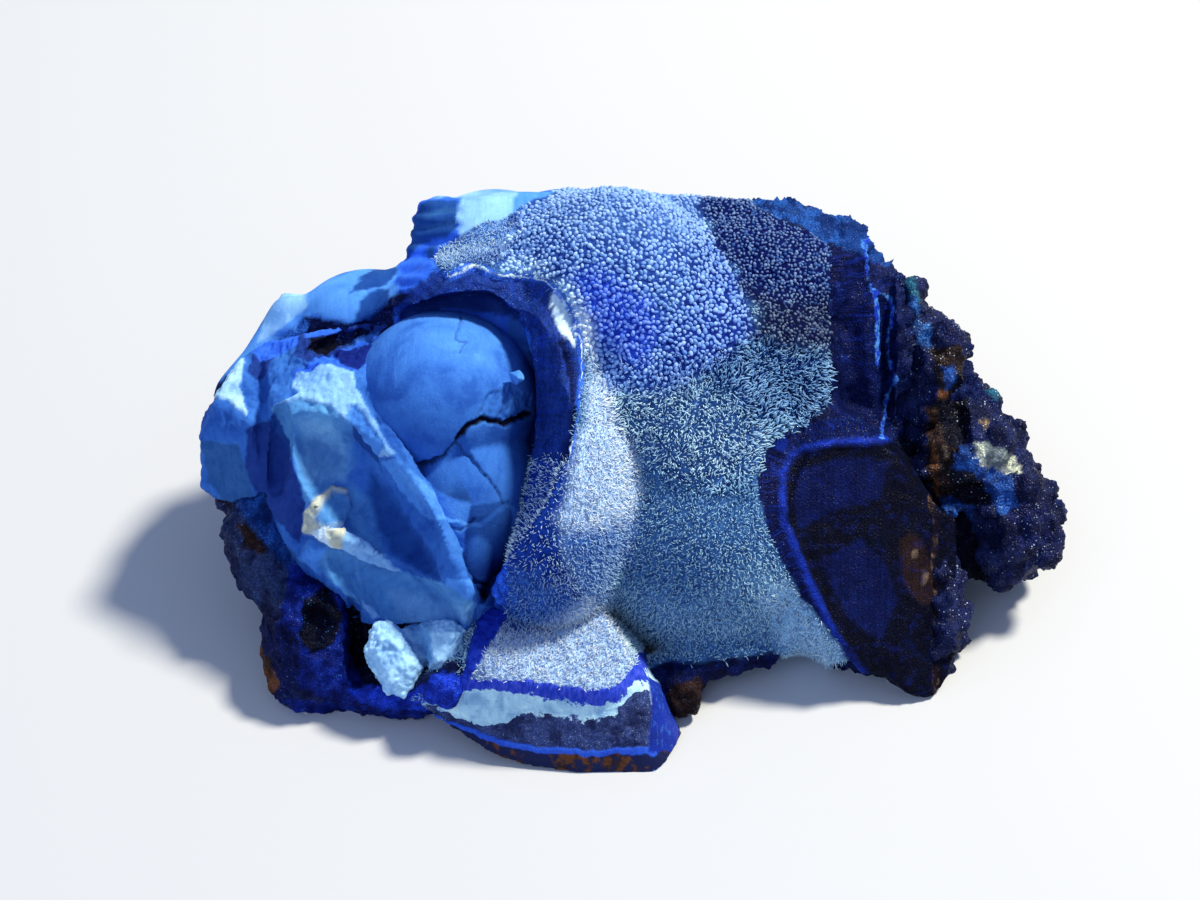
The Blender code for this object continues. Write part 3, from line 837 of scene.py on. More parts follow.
        ("bright", [(-19.1, 12.7), (-14.9, 17.1), (-7.4, 16.4), (-3.7, 14.7), (-1.4, 10.1),
            (-1.4, 4.6), (-2.6, -1.8), (-7.4, -15.6), (-12.0, -17.5), (-20.2, 4.6), (-18.9, 11.0)]),
        ("ink", [(-19.1, 12.3), (-18.0, 14.4), (-14.9, 16.9), (-11.5, 17.3), (-5.6, 15.8),
            (-3.1, 13.6), (-2.2, 11.8), (-1.7, 9.4), (-1.6, 6.9), (-3.1, -1.8), (-6.0, -6.4),
            (-8.1, -14.4), (-8.7, -6.4), (-8.1, -3.0), (-6.9, 0.9), (-6.3, 2.0), (-6.6, 10.7),
            (-7.4, 11.8), (-9.1, 12.4), (-11.5, 12.8), (-14.0, 13.0), (-16.2, 12.6),
            (-17.8, 11.6)]),
        ("ink", [(-17.8, 12.1), (-16.2, 13.2), (-14.0, 14.0), (-11.5, 14.3), (-7.4, 13.4),
            (-6.1, 11.0), (-5.2, 2.8), (-6.6, 1.3), (-6.3, 7.0), (-6.6, 10.7), (-7.4, 11.8),
            (-9.1, 12.4), (-11.5, 12.8), (-14.0, 13.0), (-16.2, 12.6)]),
        ("midBlue", [(-8.5, 12.3), (-7.4, 11.8), (-6.5, 10.1), (-6.3, 6.8), (-7.0, 6.3),
            (-8.1, 7.7), (-8.6, 10.1)]),
        ("frost", [(-4.9, 14.5), (-4.0, 14.8), (-2.9, 13.2), (-2.1, 11.0), (-2.3, 9.5),
            (-3.4, 10.9), (-4.1, 12.4)]),
        ("navy", [(1.8, -19.1), (9.2, -19.2), (16.4, -18.0), (18.4, -19.7), (9.2, -28.5),
            (3.7, -23.0)]),
        ("umber", [(5.1, -24.8), (6.3, -21.7), (9.2, -20.8), (10.3, -23.0), (8.3, -28.5)]),
        ("denim", [(8.3, 27.6), (13.3, 24.8), (18.4, 23.9), (27.6, 21.6), (28.1, 16.7),
            (23.0, 17.8), (21.2, 18.8), (18.4, 20.8), (13.3, 23.0), (11.1, 24.5), (9.2, 24.8)]),
        ("navy", [(21.0, 19.3), (25.0, 17.5), (27.6, 13.8), (28.1, 0.9), (25.8, 0.5), (21.2, 2.8),
            (21.3, 11.0)]),
        ("crust", [(25.0, 17.3), (26.7, 16.6), (28.1, 0.9), (26.1, 0.9), (27.2, 6.4),
            (26.9, 13.8), (25.0, 15.1)]),
        ("navy", [(12.9, -1.8), (14.9, 0.9), (18.4, 2.8), (28.1, 3.2), (28.1, 1.3), (21.6, 0.6),
            (19.0, 0.0), (17.8, -0.6), (17.0, -2.2), (16.9, -4.4), (17.1, -6.5), (20.2, -14.0),
            (25.1, -21.7), (23.9, -23.0), (18.4, -16.6), (12.9, -7.4)]),
        ("night", [(21.6, 0.6), (24.8, 0.6), (28.1, 1.3), (36.8, -4.6), (36.8, -24.8),
            (25.8, -24.8), (23.5, -19.2), (20.2, -14.0), (17.1, -6.5), (16.9, -4.4), (17.0, -2.2),
            (17.8, -0.6), (19.0, 0.0)]),
        ("navy", [(17.7, -4.6), (18.4, -1.8), (23.0, -0.5), (26.7, -1.1), (25.8, -4.6),
            (21.2, -5.7), (18.4, -7.4)]),
        ("navy", [(20.2, -10.1), (23.9, -8.3), (26.1, -10.1), (27.6, -13.8), (25.8, -17.5),
            (23.0, -15.6)]),
        ("umber", [(27.6, -8.3), (28.7, -7.5), (30.0, -8.7), (30.7, -11.5), (30.7, -14.4),
            (29.1, -13.8), (28.0, -12.0)]),
        ("tan", [(28.7, -9.2), (29.2, -9.2), (29.3, -9.8), (28.9, -9.9)]),
        ("tan", [(29.8, -11.2), (30.3, -11.4), (30.1, -12.5), (29.7, -12.1)]),
    ],
}

rockRelief = {                       # heights in mm; lumps have a size, shift, level and height
    "crustLumps": [(2.0, 0.0, 0.6, 0.42), (0.95, 3.0, 0.5, 0.22)],
    "knobs": [(1.5, 6.0, 0.35, 0.75)],
    "topLumps": [(1.3, 9.0, 0.45, 0.62), (0.6, 4.0, 0.5, 0.22)],
    "crust": 0.20,
    "velvetWide": 0.07,
    "velvetFine": 0.03,
    "archDrop": 0.50,
    "rim": 0.10,
    "rimSteps": 0.07,
    "rimStepsPerMm": 5.5,
    "noduleWide": 0.10,
    "noduleFine": 0.09,
    "noduleRing": 0.16,
    "noduleCore": 0.20,
    "brownVein": 0.35,
    "bandWide": 0.14,
    "bandFine": 0.10,
    "wavyA": 0.10,
    "wavyB": 0.16,
    "lip": 0.12,
    "groove": 0.55,
    "blockSteps": 0.16,
    "blockStepsPerMm": 4.5,
}

# the colour of the grains' tips and of the gaps between them
velvetTones = {
    "belly": (srgb(172, 222, 246), srgb(62, 106, 164)),
    "bellyPale": (srgb(190, 234, 252), srgb(86, 134, 184)),
    "crown": (srgb(132, 176, 236), srgb(38, 70, 154)),
    "crownTop": (srgb(128, 170, 228), srgb(54, 90, 166)),
    "violet": (srgb(88, 132, 242), srgb(36, 70, 200)),
    "boldBeads": (srgb(118, 162, 230), srgb(16, 40, 128)),
    # the slope's dark tones are partly its sparse beads on dark ground and partly painted shade
    "slope": (srgb(54, 94, 162), srgb(8, 20, 84)),
    # painted shade: the lower slope's darker tone
    "slopeShaded": (srgb(24, 50, 104), srgb(4, 12, 54)),
    "blades": (srgb(126, 178, 224), srgb(24, 54, 120)),
    "paleBlades": (srgb(204, 238, 252), srgb(74, 120, 184)),
    "flank": (srgb(248, 253, 255), srgb(172, 206, 246)),
    "ridge": (srgb(198, 230, 252), srgb(22, 62, 160)),
    "ridgeShade": (srgb(124, 174, 234), srgb(44, 88, 176)),
    "arch": (srgb(206, 236, 252), srgb(104, 152, 222)),
    # painted shade: the lower flank's darker tone
    "flankShaded": (srgb(156, 198, 240), srgb(66, 112, 190)),
    "bellyRight": (srgb(214, 244, 255), srgb(150, 198, 236)),
}

velvetZones = [
    # tone, how softly it fades in mm, outline
    ("bellyPale", 1.8, [(13.3, -10.1), (17.5, -11.5), (21.6, -17.5), (23.0, -20.4), (16.6, -18.9),
        (11.0, -18.4), (9.2, -14.7)]),
    ("paleBlades", 1.2, [(0.0, 5.5), (5.1, 6.0), (9.2, 6.8), (12.4, 4.6), (15.8, 0.9),
        (14.0, -2.6), (9.2, -2.8), (3.7, -1.1), (0.9, 2.3)]),
    ("blades", 1.2, [(12.9, 10.1), (18.4, 10.1), (22.1, 9.2), (22.1, 3.7), (18.4, 2.3),
        (15.2, 2.3), (9.2, 6.8)]),
    ("crown", 0.8, [(-15.6, 17.3), (-14.7, 19.8), (-9.2, 22.5), (-3.7, 26.2), (9.2, 28.5),
        (9.2, 24.8), (10.5, 19.7), (13.2, 15.3), (14.4, 10.6), (12.4, 9.7), (8.3, 6.6),
        (5.1, 5.3), (0.4, 5.0), (-2.0, 12.7), (-4.4, 15.3), (-7.4, 16.4)]),
    ("crownTop", 1.6, [(-3.7, 26.7), (10.1, 28.5), (9.7, 23.0), (8.3, 19.7), (3.7, 19.3),
        (-4.6, 20.2)]),
    ("violet", 1.4, [(-2.6, 16.1), (0.4, 16.4), (4.4, 13.6), (5.9, 10.7), (3.7, 8.1), (1.1, 9.2),
        (-1.3, 12.1)]),
    ("boldBeads", 1.2, [(9.2, 20.2), (10.7, 19.7), (13.2, 15.1), (14.4, 10.6), (12.7, 9.2),
        (9.2, 7.2), (5.7, 6.6), (5.9, 10.7), (8.3, 14.7)]),
    ("bellyPale", 1.6, [(-0.4, -13.8), (3.7, -12.9), (9.2, -14.4), (9.2, -19.7), (3.7, -20.4),
        (0.9, -18.4)]),
    ("bellyRight", 1.2, [(15.6, -11.5), (18.4, -12.9), (21.2, -16.6), (22.6, -19.7),
        (18.4, -19.7), (16.4, -17.5), (14.9, -13.8)]),
    # partly painted shade: the dark slope
    ("slope", 0.5, [(8.3, 26.2), (13.3, 24.4), (18.4, 22.1), (22.5, 19.3), (22.1, 13.8),
        (21.5, 11.8), (17.5, 11.8), (14.4, 13.2), (10.3, 19.7)]),
    # painted shade on the lower slope
    ("slopeShaded", 1.4, [(13.6, 14.7), (17.5, 13.8), (22.1, 14.7), (22.1, 8.6), (18.4, 9.0),
        (14.5, 10.3)]),
    ("arch", 0.8, [(-15.6, 17.1), (-14.7, 18.9), (-11.2, 20.8), (-8.7, 21.3), (-7.4, 20.4),
        (-8.7, 18.9), (-12.0, 17.8), (-14.0, 16.6)]),
    ("arch", 0.6, [(-9.2, 17.3), (-7.8, 17.8), (-5.1, 17.3), (-2.8, 15.2), (-1.7, 13.1),
        (-2.4, 12.0), (-3.3, 13.6), (-4.6, 15.1), (-7.4, 16.1)]),
    ("ridge", 1.0, [(-9.2, 1.8), (-3.7, 1.8), (-1.8, 0.9), (-3.1, -7.4), (-0.9, -13.8),
        (-3.7, -17.5), (-9.2, -17.5)]),
    ("flank", 0.7, [(-2.4, 13.8), (-1.1, 12.1), (-0.2, 7.4), (1.1, 2.8), (4.0, -1.1), (3.7, -4.6),
        (2.6, -8.7), (1.1, -11.5), (-0.4, -13.4), (-1.5, -13.4), (-3.1, -9.8), (-3.7, -6.4),
        (-2.8, -3.1), (-1.4, 4.6), (-1.3, 9.2)]),
    # painted shade on the lower flank
    ("flankShaded", 1.2, [(-3.7, -7.9), (3.7, -6.4), (2.6, -10.1), (0.4, -13.8), (-1.8, -13.8),
        (-3.1, -10.7)]),
    ("ridgeShade", 0.9, [(-8.6, -11.5), (-6.0, -11.0), (-1.7, -14.2), (-2.8, -15.8),
        (-7.4, -17.5), (-9.2, -16.1)]),
    ("flank", 0.8, [(-12.3, -23.0), (-11.2, -18.4), (-10.1, -15.8), (-7.4, -16.7), (-3.7, -15.5),
        (-0.9, -13.8), (1.1, -15.6), (2.9, -19.3), (5.5, -23.0)]),
]


def makeRock():
    body = joinAll([wholeBody, addBlock(blocks["spike"])], "azuriteRock")
    fuse(body, rockShape["cutVoxel"])
    cutCavity(body)
    for name in ("nodule", "band"):
        cutAway(body, faceCutter(outlines[name], rockShape[name + "Face"]))
    cutScoops(body)
    fuse(body, rockDetail["voxel"])
    ease(body, 1)
    return body


def onFace(places, outline, face):
    # 1 on a flat broken face and just below its edge, 0 elsewhere
    edgeU, edgeDepth, fall = face
    gap = (places[:, 2] - (edgeDepth - fall * (places[:, 0] - edgeU))) / math.hypot(1, fall)
    inside = insideOutline(places[:, :2], outline)
    return ramp(gap, -3.0, -2.0) * ramp(inside, -0.35, 0.15)


def blendTones(spots, wander):
    tips, feet = (evenColour(colour, spots) for colour in velvetTones["belly"])
    for tone, soft, outline in velvetZones:
        share = within(spots, outline, -soft, soft, 0.7 * wander)
        tip, foot = velvetTones[tone]
        tips = layOver(tips, tip, share)
        feet = layOver(feet, foot, share)
    return tips, feet


def shapeRock(rock):
    places = placesOf(rock)
    normals = normalsOf(rock)
    spots = seen(places)
    wander = fractal(places, 3.0, 2)
    fine = fractal(places, 0.9, 2, 5.0)
    jagged = fray(spots, places, 0.16, fine, 0.7)
    front = ramp(places[:, 2], -13.0, -9.5) * ramp(normals[:, 2], -0.40, -0.10)
    near = ramp(places[:, 2], -1.5, 0.5)

    rim = within(jagged, rockDetail["rim"], -0.08, 0.10) * near
    noduleFace = onFace(places, outlines["nodule"], rockShape["noduleFace"])
    bandFace = onFace(places, outlines["band"], rockShape["bandFace"]) * (1 - noduleFace)
    pastLip, alongLip = besideLine(jagged, rockDetail["lipLine"])
    groove = closeTo(besideLine(jagged, rockDetail["grooveLine"])[0], 0.40, 0.15) * near
    pastNode, alongNode = besideLine(jagged, rockDetail["nodeLine"])
    pastA, alongA = besideLine(jagged, rockDetail["wavyA"])
    pastB = besideLine(jagged, rockDetail["wavyB"])[0]
    pastBrown = besideLine(jagged, rockDetail["brownLine"])[0]

    velvet = within(spots, rockDetail["velvet"], -0.15, 0.15, 0.22 * wander) * front
    velvet *= (1 - noduleFace) * (1 - bandFace)
    lowRim = ramp(-spots[:, 1], 0.0, 1.5) * ramp(-spots[:, 0], 1.0, 3.0)
    velvet = np.maximum(velvet * (1 - rim), velvet * rim * lowRim)
    smooth = np.zeros(len(places))
    for outline in rockDetail["smoothTops"]:
        smooth = np.maximum(smooth, within(jagged, outline, -0.15, 0.15) * front)
    walls = within(jagged, outlines["cavity"], -0.1, 0.2) * (1 - rim)
    smooth = np.maximum(smooth, walls * front) * (1 - velvet)

    def share(name, soft, jitter=0.6):
        return within(spots, rockDetail[name], -soft, soft, jitter * wander)

    slope = share("slope", 0.4, 0.4)
    beads = share("beads", 0.6) * (1 - slope)
    blades = share("blades", 0.9) * (1 - slope)
    felt = np.clip(1 - beads - slope - blades, 0, 1)
    fromCavity = -insideOutline(spots, outlines["cavity"])
    thick = np.maximum(ramp(spots[:, 1], -0.5, 2.0),
                       0.42 + 0.58 * ramp(fromCavity + 0.8 * wander, 1.4, 5.0))
    thick = np.maximum(thick, ramp(spots[:, 0], -1.5, 0.5))
    setField(rock, "velvet", velvet)
    setField(rock, "beadShare", velvet * beads)
    setField(rock, "slopeShare", velvet * slope)
    setField(rock, "bladeShare", velvet * np.clip(blades + 0.15 * beads * (spots[:, 1] < 9), 0, 1))
    setField(rock, "feltShare", velvet * felt * thick)
    tips, feet = blendTones(spots, wander)
    setColours(rock, "tipColour", tips)
    setColours(rock, "footColour", feet)

    shades = paint(jagged, palette["crust"], rockDetail["patches"])
    behind = 1 - ramp(places[:, 2], -17.0, -13.0)
    setColours(rock, "shade", layOver(shades, palette["crust"], behind))
    setField(rock, "smooth", smooth)
    layered = np.maximum.reduce([rim, bandFace, noduleFace])
    setField(rock, "layered", layered * (1 - velvet))
    # fibres stand across the nodule's border; its core is blotched
    core = pastNode > 0.1
    glitter = rockDetail["glitter"]
    onNodule = np.where(core, glitter["core"], glitter["border"])
    onRim = glitter["rim"] - glitter["bandLoss"] * bandFace
    setField(rock, "glitter", np.where(noduleFace > 0.5, onNodule, onRim))
    nodeAcross = np.where(core, 2.2 * spots[:, 0], pastNode)
    nodeAlong = np.where(core, 0.35 * spots[:, 1], alongNode)
    across = np.where(rim > 0.3, pastLip, np.where(noduleFace > 0.3, nodeAcross, pastA))
    along = np.where(rim > 0.3, alongLip, np.where(noduleFace > 0.3, nodeAlong, alongA))
    layerSpots = np.stack([along, across, 0.2 * places[:, 2]], axis=1)
    setLayer(rock, "layerSpot", "FLOAT_VECTOR", "vector", layerSpots)
    fromWavy = np.minimum(np.abs(pastA), np.abs(pastB))
    for name, place, gap in (("pastLip", near > 0.5, pastLip),
                             ("pastNode", noduleFace > 0.2, pastNode),
                             ("pastWavy", front > 0.5, fromWavy),
                             ("pastBrown", noduleFace > 0.2, np.abs(pastBrown))):
        setField(rock, name, np.where(place, gap, farAway))
    setField(rock, "groove", groove)

    high = rockRelief
    bare = 1 - velvet
    rough = bare * (1 - smooth) * (1 - rim) * (1 - noduleFace) * (1 - bandFace)
    warped = places + 0.6 * np.stack([wander, fine, -wander], axis=1)
    relief = rough * (lumps(warped, high["crustLumps"]) + high["crust"] * fine
                      + high["crust"] * wander)
    relief += within(jagged, rockDetail["knobs"], -0.2, 0.4) * front * lumps(warped, high["knobs"])
    top = within(spots, rockDetail["topCrust"], -0.3, 0.3) * front * bare
    relief += top * lumps(warped, high["topLumps"])
    relief += velvet * (high["velvetWide"] * wander + high["velvetFine"] * fine)
    steps = np.sin(pastLip * high["rimStepsPerMm"] + 0.8 * wander)
    relief += rim * bare * (-high["archDrop"] * ramp(spots[:, 1], 9.0, 12.0)
                            + high["rim"] * fine + high["rimSteps"] * steps)
    relief += noduleFace * (high["noduleWide"] * wander + high["noduleFine"] * fine
                            + high["noduleRing"] * closeTo(pastNode, 0.30, 0.0)
                            - high["noduleCore"] * ramp(pastNode, 0.1, 0.5)
                            - high["brownVein"] * closeTo(pastBrown, 0.35, 0.0))
    relief += bandFace * (high["bandWide"] * fractal(nearestSkin(places), 0.8, 2)
                          + high["bandFine"] * fine)
    relief += high["wavyB"] * closeTo(pastB, 0.28, 0.0) * front * bare
    relief += high["wavyA"] * closeTo(pastA, 0.25, 0.0) * front * bare
    relief += high["lip"] * closeTo(pastLip, 0.30, 0.0) * near - high["groove"] * groove
    darkBlock = within(spots, rockDetail["smoothTops"][2], -0.1, 0.2) * front
    steps = np.sin(spots[:, 1] * high["blockStepsPerMm"] + wander)
    relief += darkBlock * high["blockSteps"] * steps
    swell(rock, relief)
    return rock


rock = shapeRock(makeRock())
print("the main rock is shaped")


# Broken chalk at the left end

chalkEnd = {
    "voxel": 0.18,
    "firstVoxel": 0.26,
    "rippleFocus": (-30.0, 6.0, 6.0),
    "rippleSize": 1.15,              # mm between the shell-like ripples
    "rippleHeight": 0.05,
    "liftScale": 1.4,
    # besides the chalk's own colours, such as the cream lens and its frosted edge, these patches
    # paint light and shade on the broken facets: paler where a face turns up to the light, darker
    # on faces and scoops turned away from it
    "patches": [                     # colour, mm it stands out, softness, outline
        ("midBlue", 0.0, 0.10, [(-37.2, 4.4), (-34.0, 4.4), (-32.2, 2.0), (-32.4, -2.0),
            (-27.6, -8.3), (-25.9, -11.5), (-27.6, -12.9), (-35.5, -3.7), (-37.7, 0.9)]),
        ("slate", -0.06, 0.10, [(-36.8, 0.9), (-33.3, 0.4), (-31.1, -6.4), (-27.6, -10.1),
            (-29.4, -11.0), (-36.1, -2.8)]),
        # painted highlight: the end facet that faces up to the light
        ("ice", 0.12, 0.10, [(-36.8, 5.0), (-34.8, 7.7), (-33.1, 8.8), (-32.5, 7.7), (-32.9, 5.9),
            (-32.2, 2.8), (-34.2, 4.6), (-35.7, 4.8)]),
        ("midBlue", 0.0, 0.10, [(-32.8, 7.7), (-31.6, 10.3), (-29.0, 12.1), (-27.4, 10.1),
            (-28.0, 7.2), (-28.7, 4.4), (-30.2, 2.4), (-32.2, 2.0), (-33.1, 5.7)]),
        ("ink", 0.08, 0.10, [(-31.8, 9.6), (-31.1, 10.3), (-29.8, 9.2), (-30.4, 7.2),
            (-31.5, 6.4), (-32.4, 7.2)]),
        ("bright", 0.0, 0.10, [(-32.0, 9.0), (-30.4, 11.0), (-27.6, 12.1), (-27.2, 9.7),
            (-31.1, 8.1)]),
        ("ink", -0.10, 0.10, [(-32.5, 2.0), (-30.2, 2.9), (-28.9, 0.9), (-27.2, -5.1),
            (-27.6, -8.7), (-31.1, -5.3), (-32.7, -1.8)]),
        ("denim", 0.0, 0.10, [(-30.5, 2.8), (-28.7, 4.2), (-28.0, 1.8), (-27.6, -1.8),
            (-28.7, 0.0)]),
        ("bright", 0.0, 0.10, [(-28.3, 7.2), (-24.8, 9.0), (-18.2, 10.9), (-21.0, 8.6),
            (-22.8, 6.8), (-25.8, 6.4), (-28.3, 5.5)]),
        ("paleBlue", 0.05, 0.10, [(-28.5, 5.9), (-28.0, 7.0), (-24.8, 7.9), (-22.8, 7.2),
            (-27.6, 5.3)]),
        ("deepBlue", -0.06, 0.10, [(-24.7, 8.8), (-19.1, 10.4), (-22.3, 7.4), (-23.4, 7.7)]),
        ("ink", 0.0, 0.10, [(-28.0, 8.6), (-27.6, 11.4), (-24.8, 12.3), (-22.4, 12.0),
            (-17.8, 14.9), (-17.5, 12.9), (-19.1, 10.7), (-21.7, 10.7), (-23.9, 9.0),
            (-26.5, 8.1)]),
        # painted shade: near black in the pit of the groove
        ("night", -0.12, 0.10, [(-27.0, 9.2), (-26.7, 10.3), (-23.5, 10.7), (-21.9, 11.2),
            (-21.3, 10.9), (-25.2, 8.8)]),
        ("bright", 0.0, 0.10, [(-27.2, 10.3), (-26.9, 11.8), (-24.8, 12.3), (-22.8, 11.8),
            (-24.1, 10.9), (-26.1, 10.5)]),
        ("dusty", 0.0, 0.10, [(-30.4, 3.9), (-27.6, 4.8), (-24.7, 4.0), (-22.8, 2.4),
            (-20.4, -0.7), (-22.8, -1.8), (-27.1, -5.1), (-28.9, 1.8)]),
        ("haze", 0.0, 0.60, [(-27.6, 2.8), (-24.8, 2.4), (-23.0, 0.0), (-23.4, -2.8),
            (-27.0, -2.8)]),
        # painted shade: the scoop darkens softly towards its lower right
        ("midBlue", 0.0, 0.60, [(-22.8, 1.8), (-20.4, -0.7), (-15.5, -9.0), (-14.2, -12.3),
            (-16.6, -11.6), (-21.9, -8.3), (-23.0, -5.5), (-22.4, -2.8), (-23.0, 0.0)]),
        ("denim", 0.0, 0.60, [(-21.0, -1.8), (-18.4, -5.1), (-15.6, -9.4), (-14.4, -12.3),
            (-16.7, -11.2), (-19.1, -9.4), (-20.6, -7.4), (-21.5, -4.6)]),
        ("denim", 0.0, 0.10, [(-22.8, 2.4), (-19.5, -1.5), (-17.5, -4.8), (-18.0, -5.0),
            (-20.6, -1.1), (-22.8, 1.3)]),
        ("paleBlue", 0.16, 0.10, [(-29.8, 4.2), (-24.6, 7.0), (-22.6, 7.2), (-22.4, 5.7),
            (-19.7, 0.9), (-18.8, -0.4), (-20.4, -0.6), (-22.9, 2.5), (-24.8, 4.0), (-27.5, 4.7)]),
        ("chalkBlue", 0.04, 0.10, [(-22.8, 4.2), (-21.9, 3.5), (-19.7, 0.4), (-20.4, -0.6),
            (-23.4, 3.1)]),
        ("midBlue", 0.14, 0.10, [(-20.4, -0.6), (-18.7, -0.4), (-16.5, -2.6), (-14.2, -4.2),
            (-11.8, -5.0), (-12.8, -9.7), (-12.1, -11.7), (-14.4, -12.2), (-15.5, -9.4),
            (-19.7, -2.8)]),
        ("chalkBlue", 0.10, 0.10, [(-19.9, -0.9), (-18.6, -0.7), (-14.7, -4.6), (-14.2, -6.4),
            (-15.6, -6.4), (-18.0, -3.9)]),
        ("chalkBlue", 0.16, 0.10, [(-14.3, -12.9), (-14.0, -11.8), (-12.0, -11.8), (-11.6, -13.1),
            (-12.1, -14.4), (-13.6, -14.4)]),
        ("denim", -0.05, 0.10, [(-11.8, -5.0), (-8.1, -4.6), (-8.1, -14.4), (-11.2, -14.2),
            (-12.7, -9.8), (-12.1, -7.2)]),
        ("dusty", 0.0, 0.60, [(-24.3, -4.6), (-22.8, -3.3), (-21.3, -4.6), (-20.6, -7.4),
            (-19.7, -9.8), (-21.9, -9.0), (-23.6, -7.2)]),
        ("cream", 0.28, 0.18, [(-27.3, -7.7), (-27.2, -5.7), (-26.3, -4.5), (-24.6, -3.3),
            (-23.1, -3.7), (-23.0, -4.6), (-23.7, -7.0), (-25.3, -7.0), (-26.5, -7.7)]),
        ("dusty", 0.22, 0.40, [(-26.1, -6.4), (-25.8, -5.0), (-24.5, -3.9), (-23.1, -4.0),
            (-22.8, -5.1), (-23.6, -7.0), (-25.0, -7.1)]),
        ("frost", 0.30, 0.10, [(-26.7, -7.7), (-25.3, -7.0), (-23.6, -7.4), (-23.7, -9.0),
            (-25.0, -8.8)]),
        ("cream", 0.30, 0.18, [(-25.0, -7.2), (-23.6, -7.4), (-23.7, -9.0), (-24.7, -8.6)]),
        ("paleBlue", 0.24, 0.10, [(-23.6, -7.5), (-21.3, -8.6), (-18.2, -11.3), (-19.7, -11.2),
            (-23.8, -9.1)]),
        ("dusty", 0.0, 0.10, [(-27.8, -9.4), (-26.8, -8.1), (-20.9, -10.4), (-14.0, -12.4),
            (-11.4, -14.1), (-12.0, -16.3), (-14.0, -15.5), (-16.0, -15.8), (-16.9, -17.3),
            (-17.9, -16.3), (-20.4, -15.4), (-22.6, -13.9), (-27.0, -10.1)]),
        ("haze", 0.0, 0.60, [(-19.7, -12.9), (-16.2, -13.2), (-14.0, -14.2), (-12.0, -14.2),
            (-12.1, -15.8), (-14.0, -15.5), (-16.0, -15.8), (-17.1, -16.7), (-18.4, -15.5)]),
        ("chalkBlue", 0.12, 0.10, [(-27.8, -9.8), (-26.7, -8.3), (-25.2, -9.0), (-25.9, -10.3),
            (-25.6, -11.8), (-27.0, -10.7)]),
        ("paleBlue", 0.10, 0.10, [(-21.9, -13.8), (-21.0, -14.4), (-20.1, -15.5), (-20.8, -15.5),
            (-21.7, -14.5)]),
    ],
}


def makeChalkEnd():
    body = joinAll([addBlock(blocks["endBlock"]), addBlock(blocks["chalkBlock"])], "chalkEnd")
    fuse(body, chalkEnd["firstVoxel"])
    cutCavity(body)
    cutScoops(body)
    fuse(body, chalkEnd["voxel"])
    ease(body, 1, 0.4)
    places = placesOf(body)
    spots = seen(places)
    scoops = rockShape["scoops"]
    upper = closeTo(lobeLevel(places, *scoops["upperScoop"]), 0.35, 0.15)
    lower = closeTo(lobeLevel(places, *scoops["lowerScoop"]), 0.35, 0.15)
    wander = fractal(places, 2.4, 2)
    fine = fractal(places, 0.5, 2, 4.0)
    coarse = fractal(places, 1.1, 3, 6.0)
    streaks = fractal(places * np.array([1.0, 0.28, 1.0]), 0.45, 2, 9.0)
    jagged = fray(spots, places, 0.14, coarse, 0.8, 3)
    fromFocus = np.linalg.norm(places - np.array(chalkEnd["rippleFocus"]), axis=1)
    ripples = np.sin((fromFocus + 0.9 * wander) * 2 * math.pi / chalkEnd["rippleSize"])
    relief = 0.045 * fine + 0.10 * wander
    relief += (upper + lower) * chalkEnd["rippleHeight"] * ripples + lower * 0.06 * streaks
    groove = closeTo(lobeLevel(places, *scoops["topGroove"]), 0.5, 0.2)
    relief += groove * 0.28 * coarse
    relief += (1 - upper) * (1 - lower) * (0.10 * streaks + 0.16 * coarse)
    lift = np.zeros(len(places))
    shades = evenColour(palette["midBlue"], places)
    # the patches lay painted light and shade as well as the chalk's own colours
    for shade, level, soft, outline in chalkEnd["patches"]:
        inside = insideOutline(jagged, outline)
        step = ramp(inside, -0.05, 0.14)
        lift = lift * (1 - step) + level * step
        shades = layOver(shades, palette[shade], ramp(inside, -soft, soft))
    setColours(body, "shade", shades)
    swell(body, relief + chalkEnd["liftScale"] * lift)
    return body


# Smooth chalk domes in the cavity

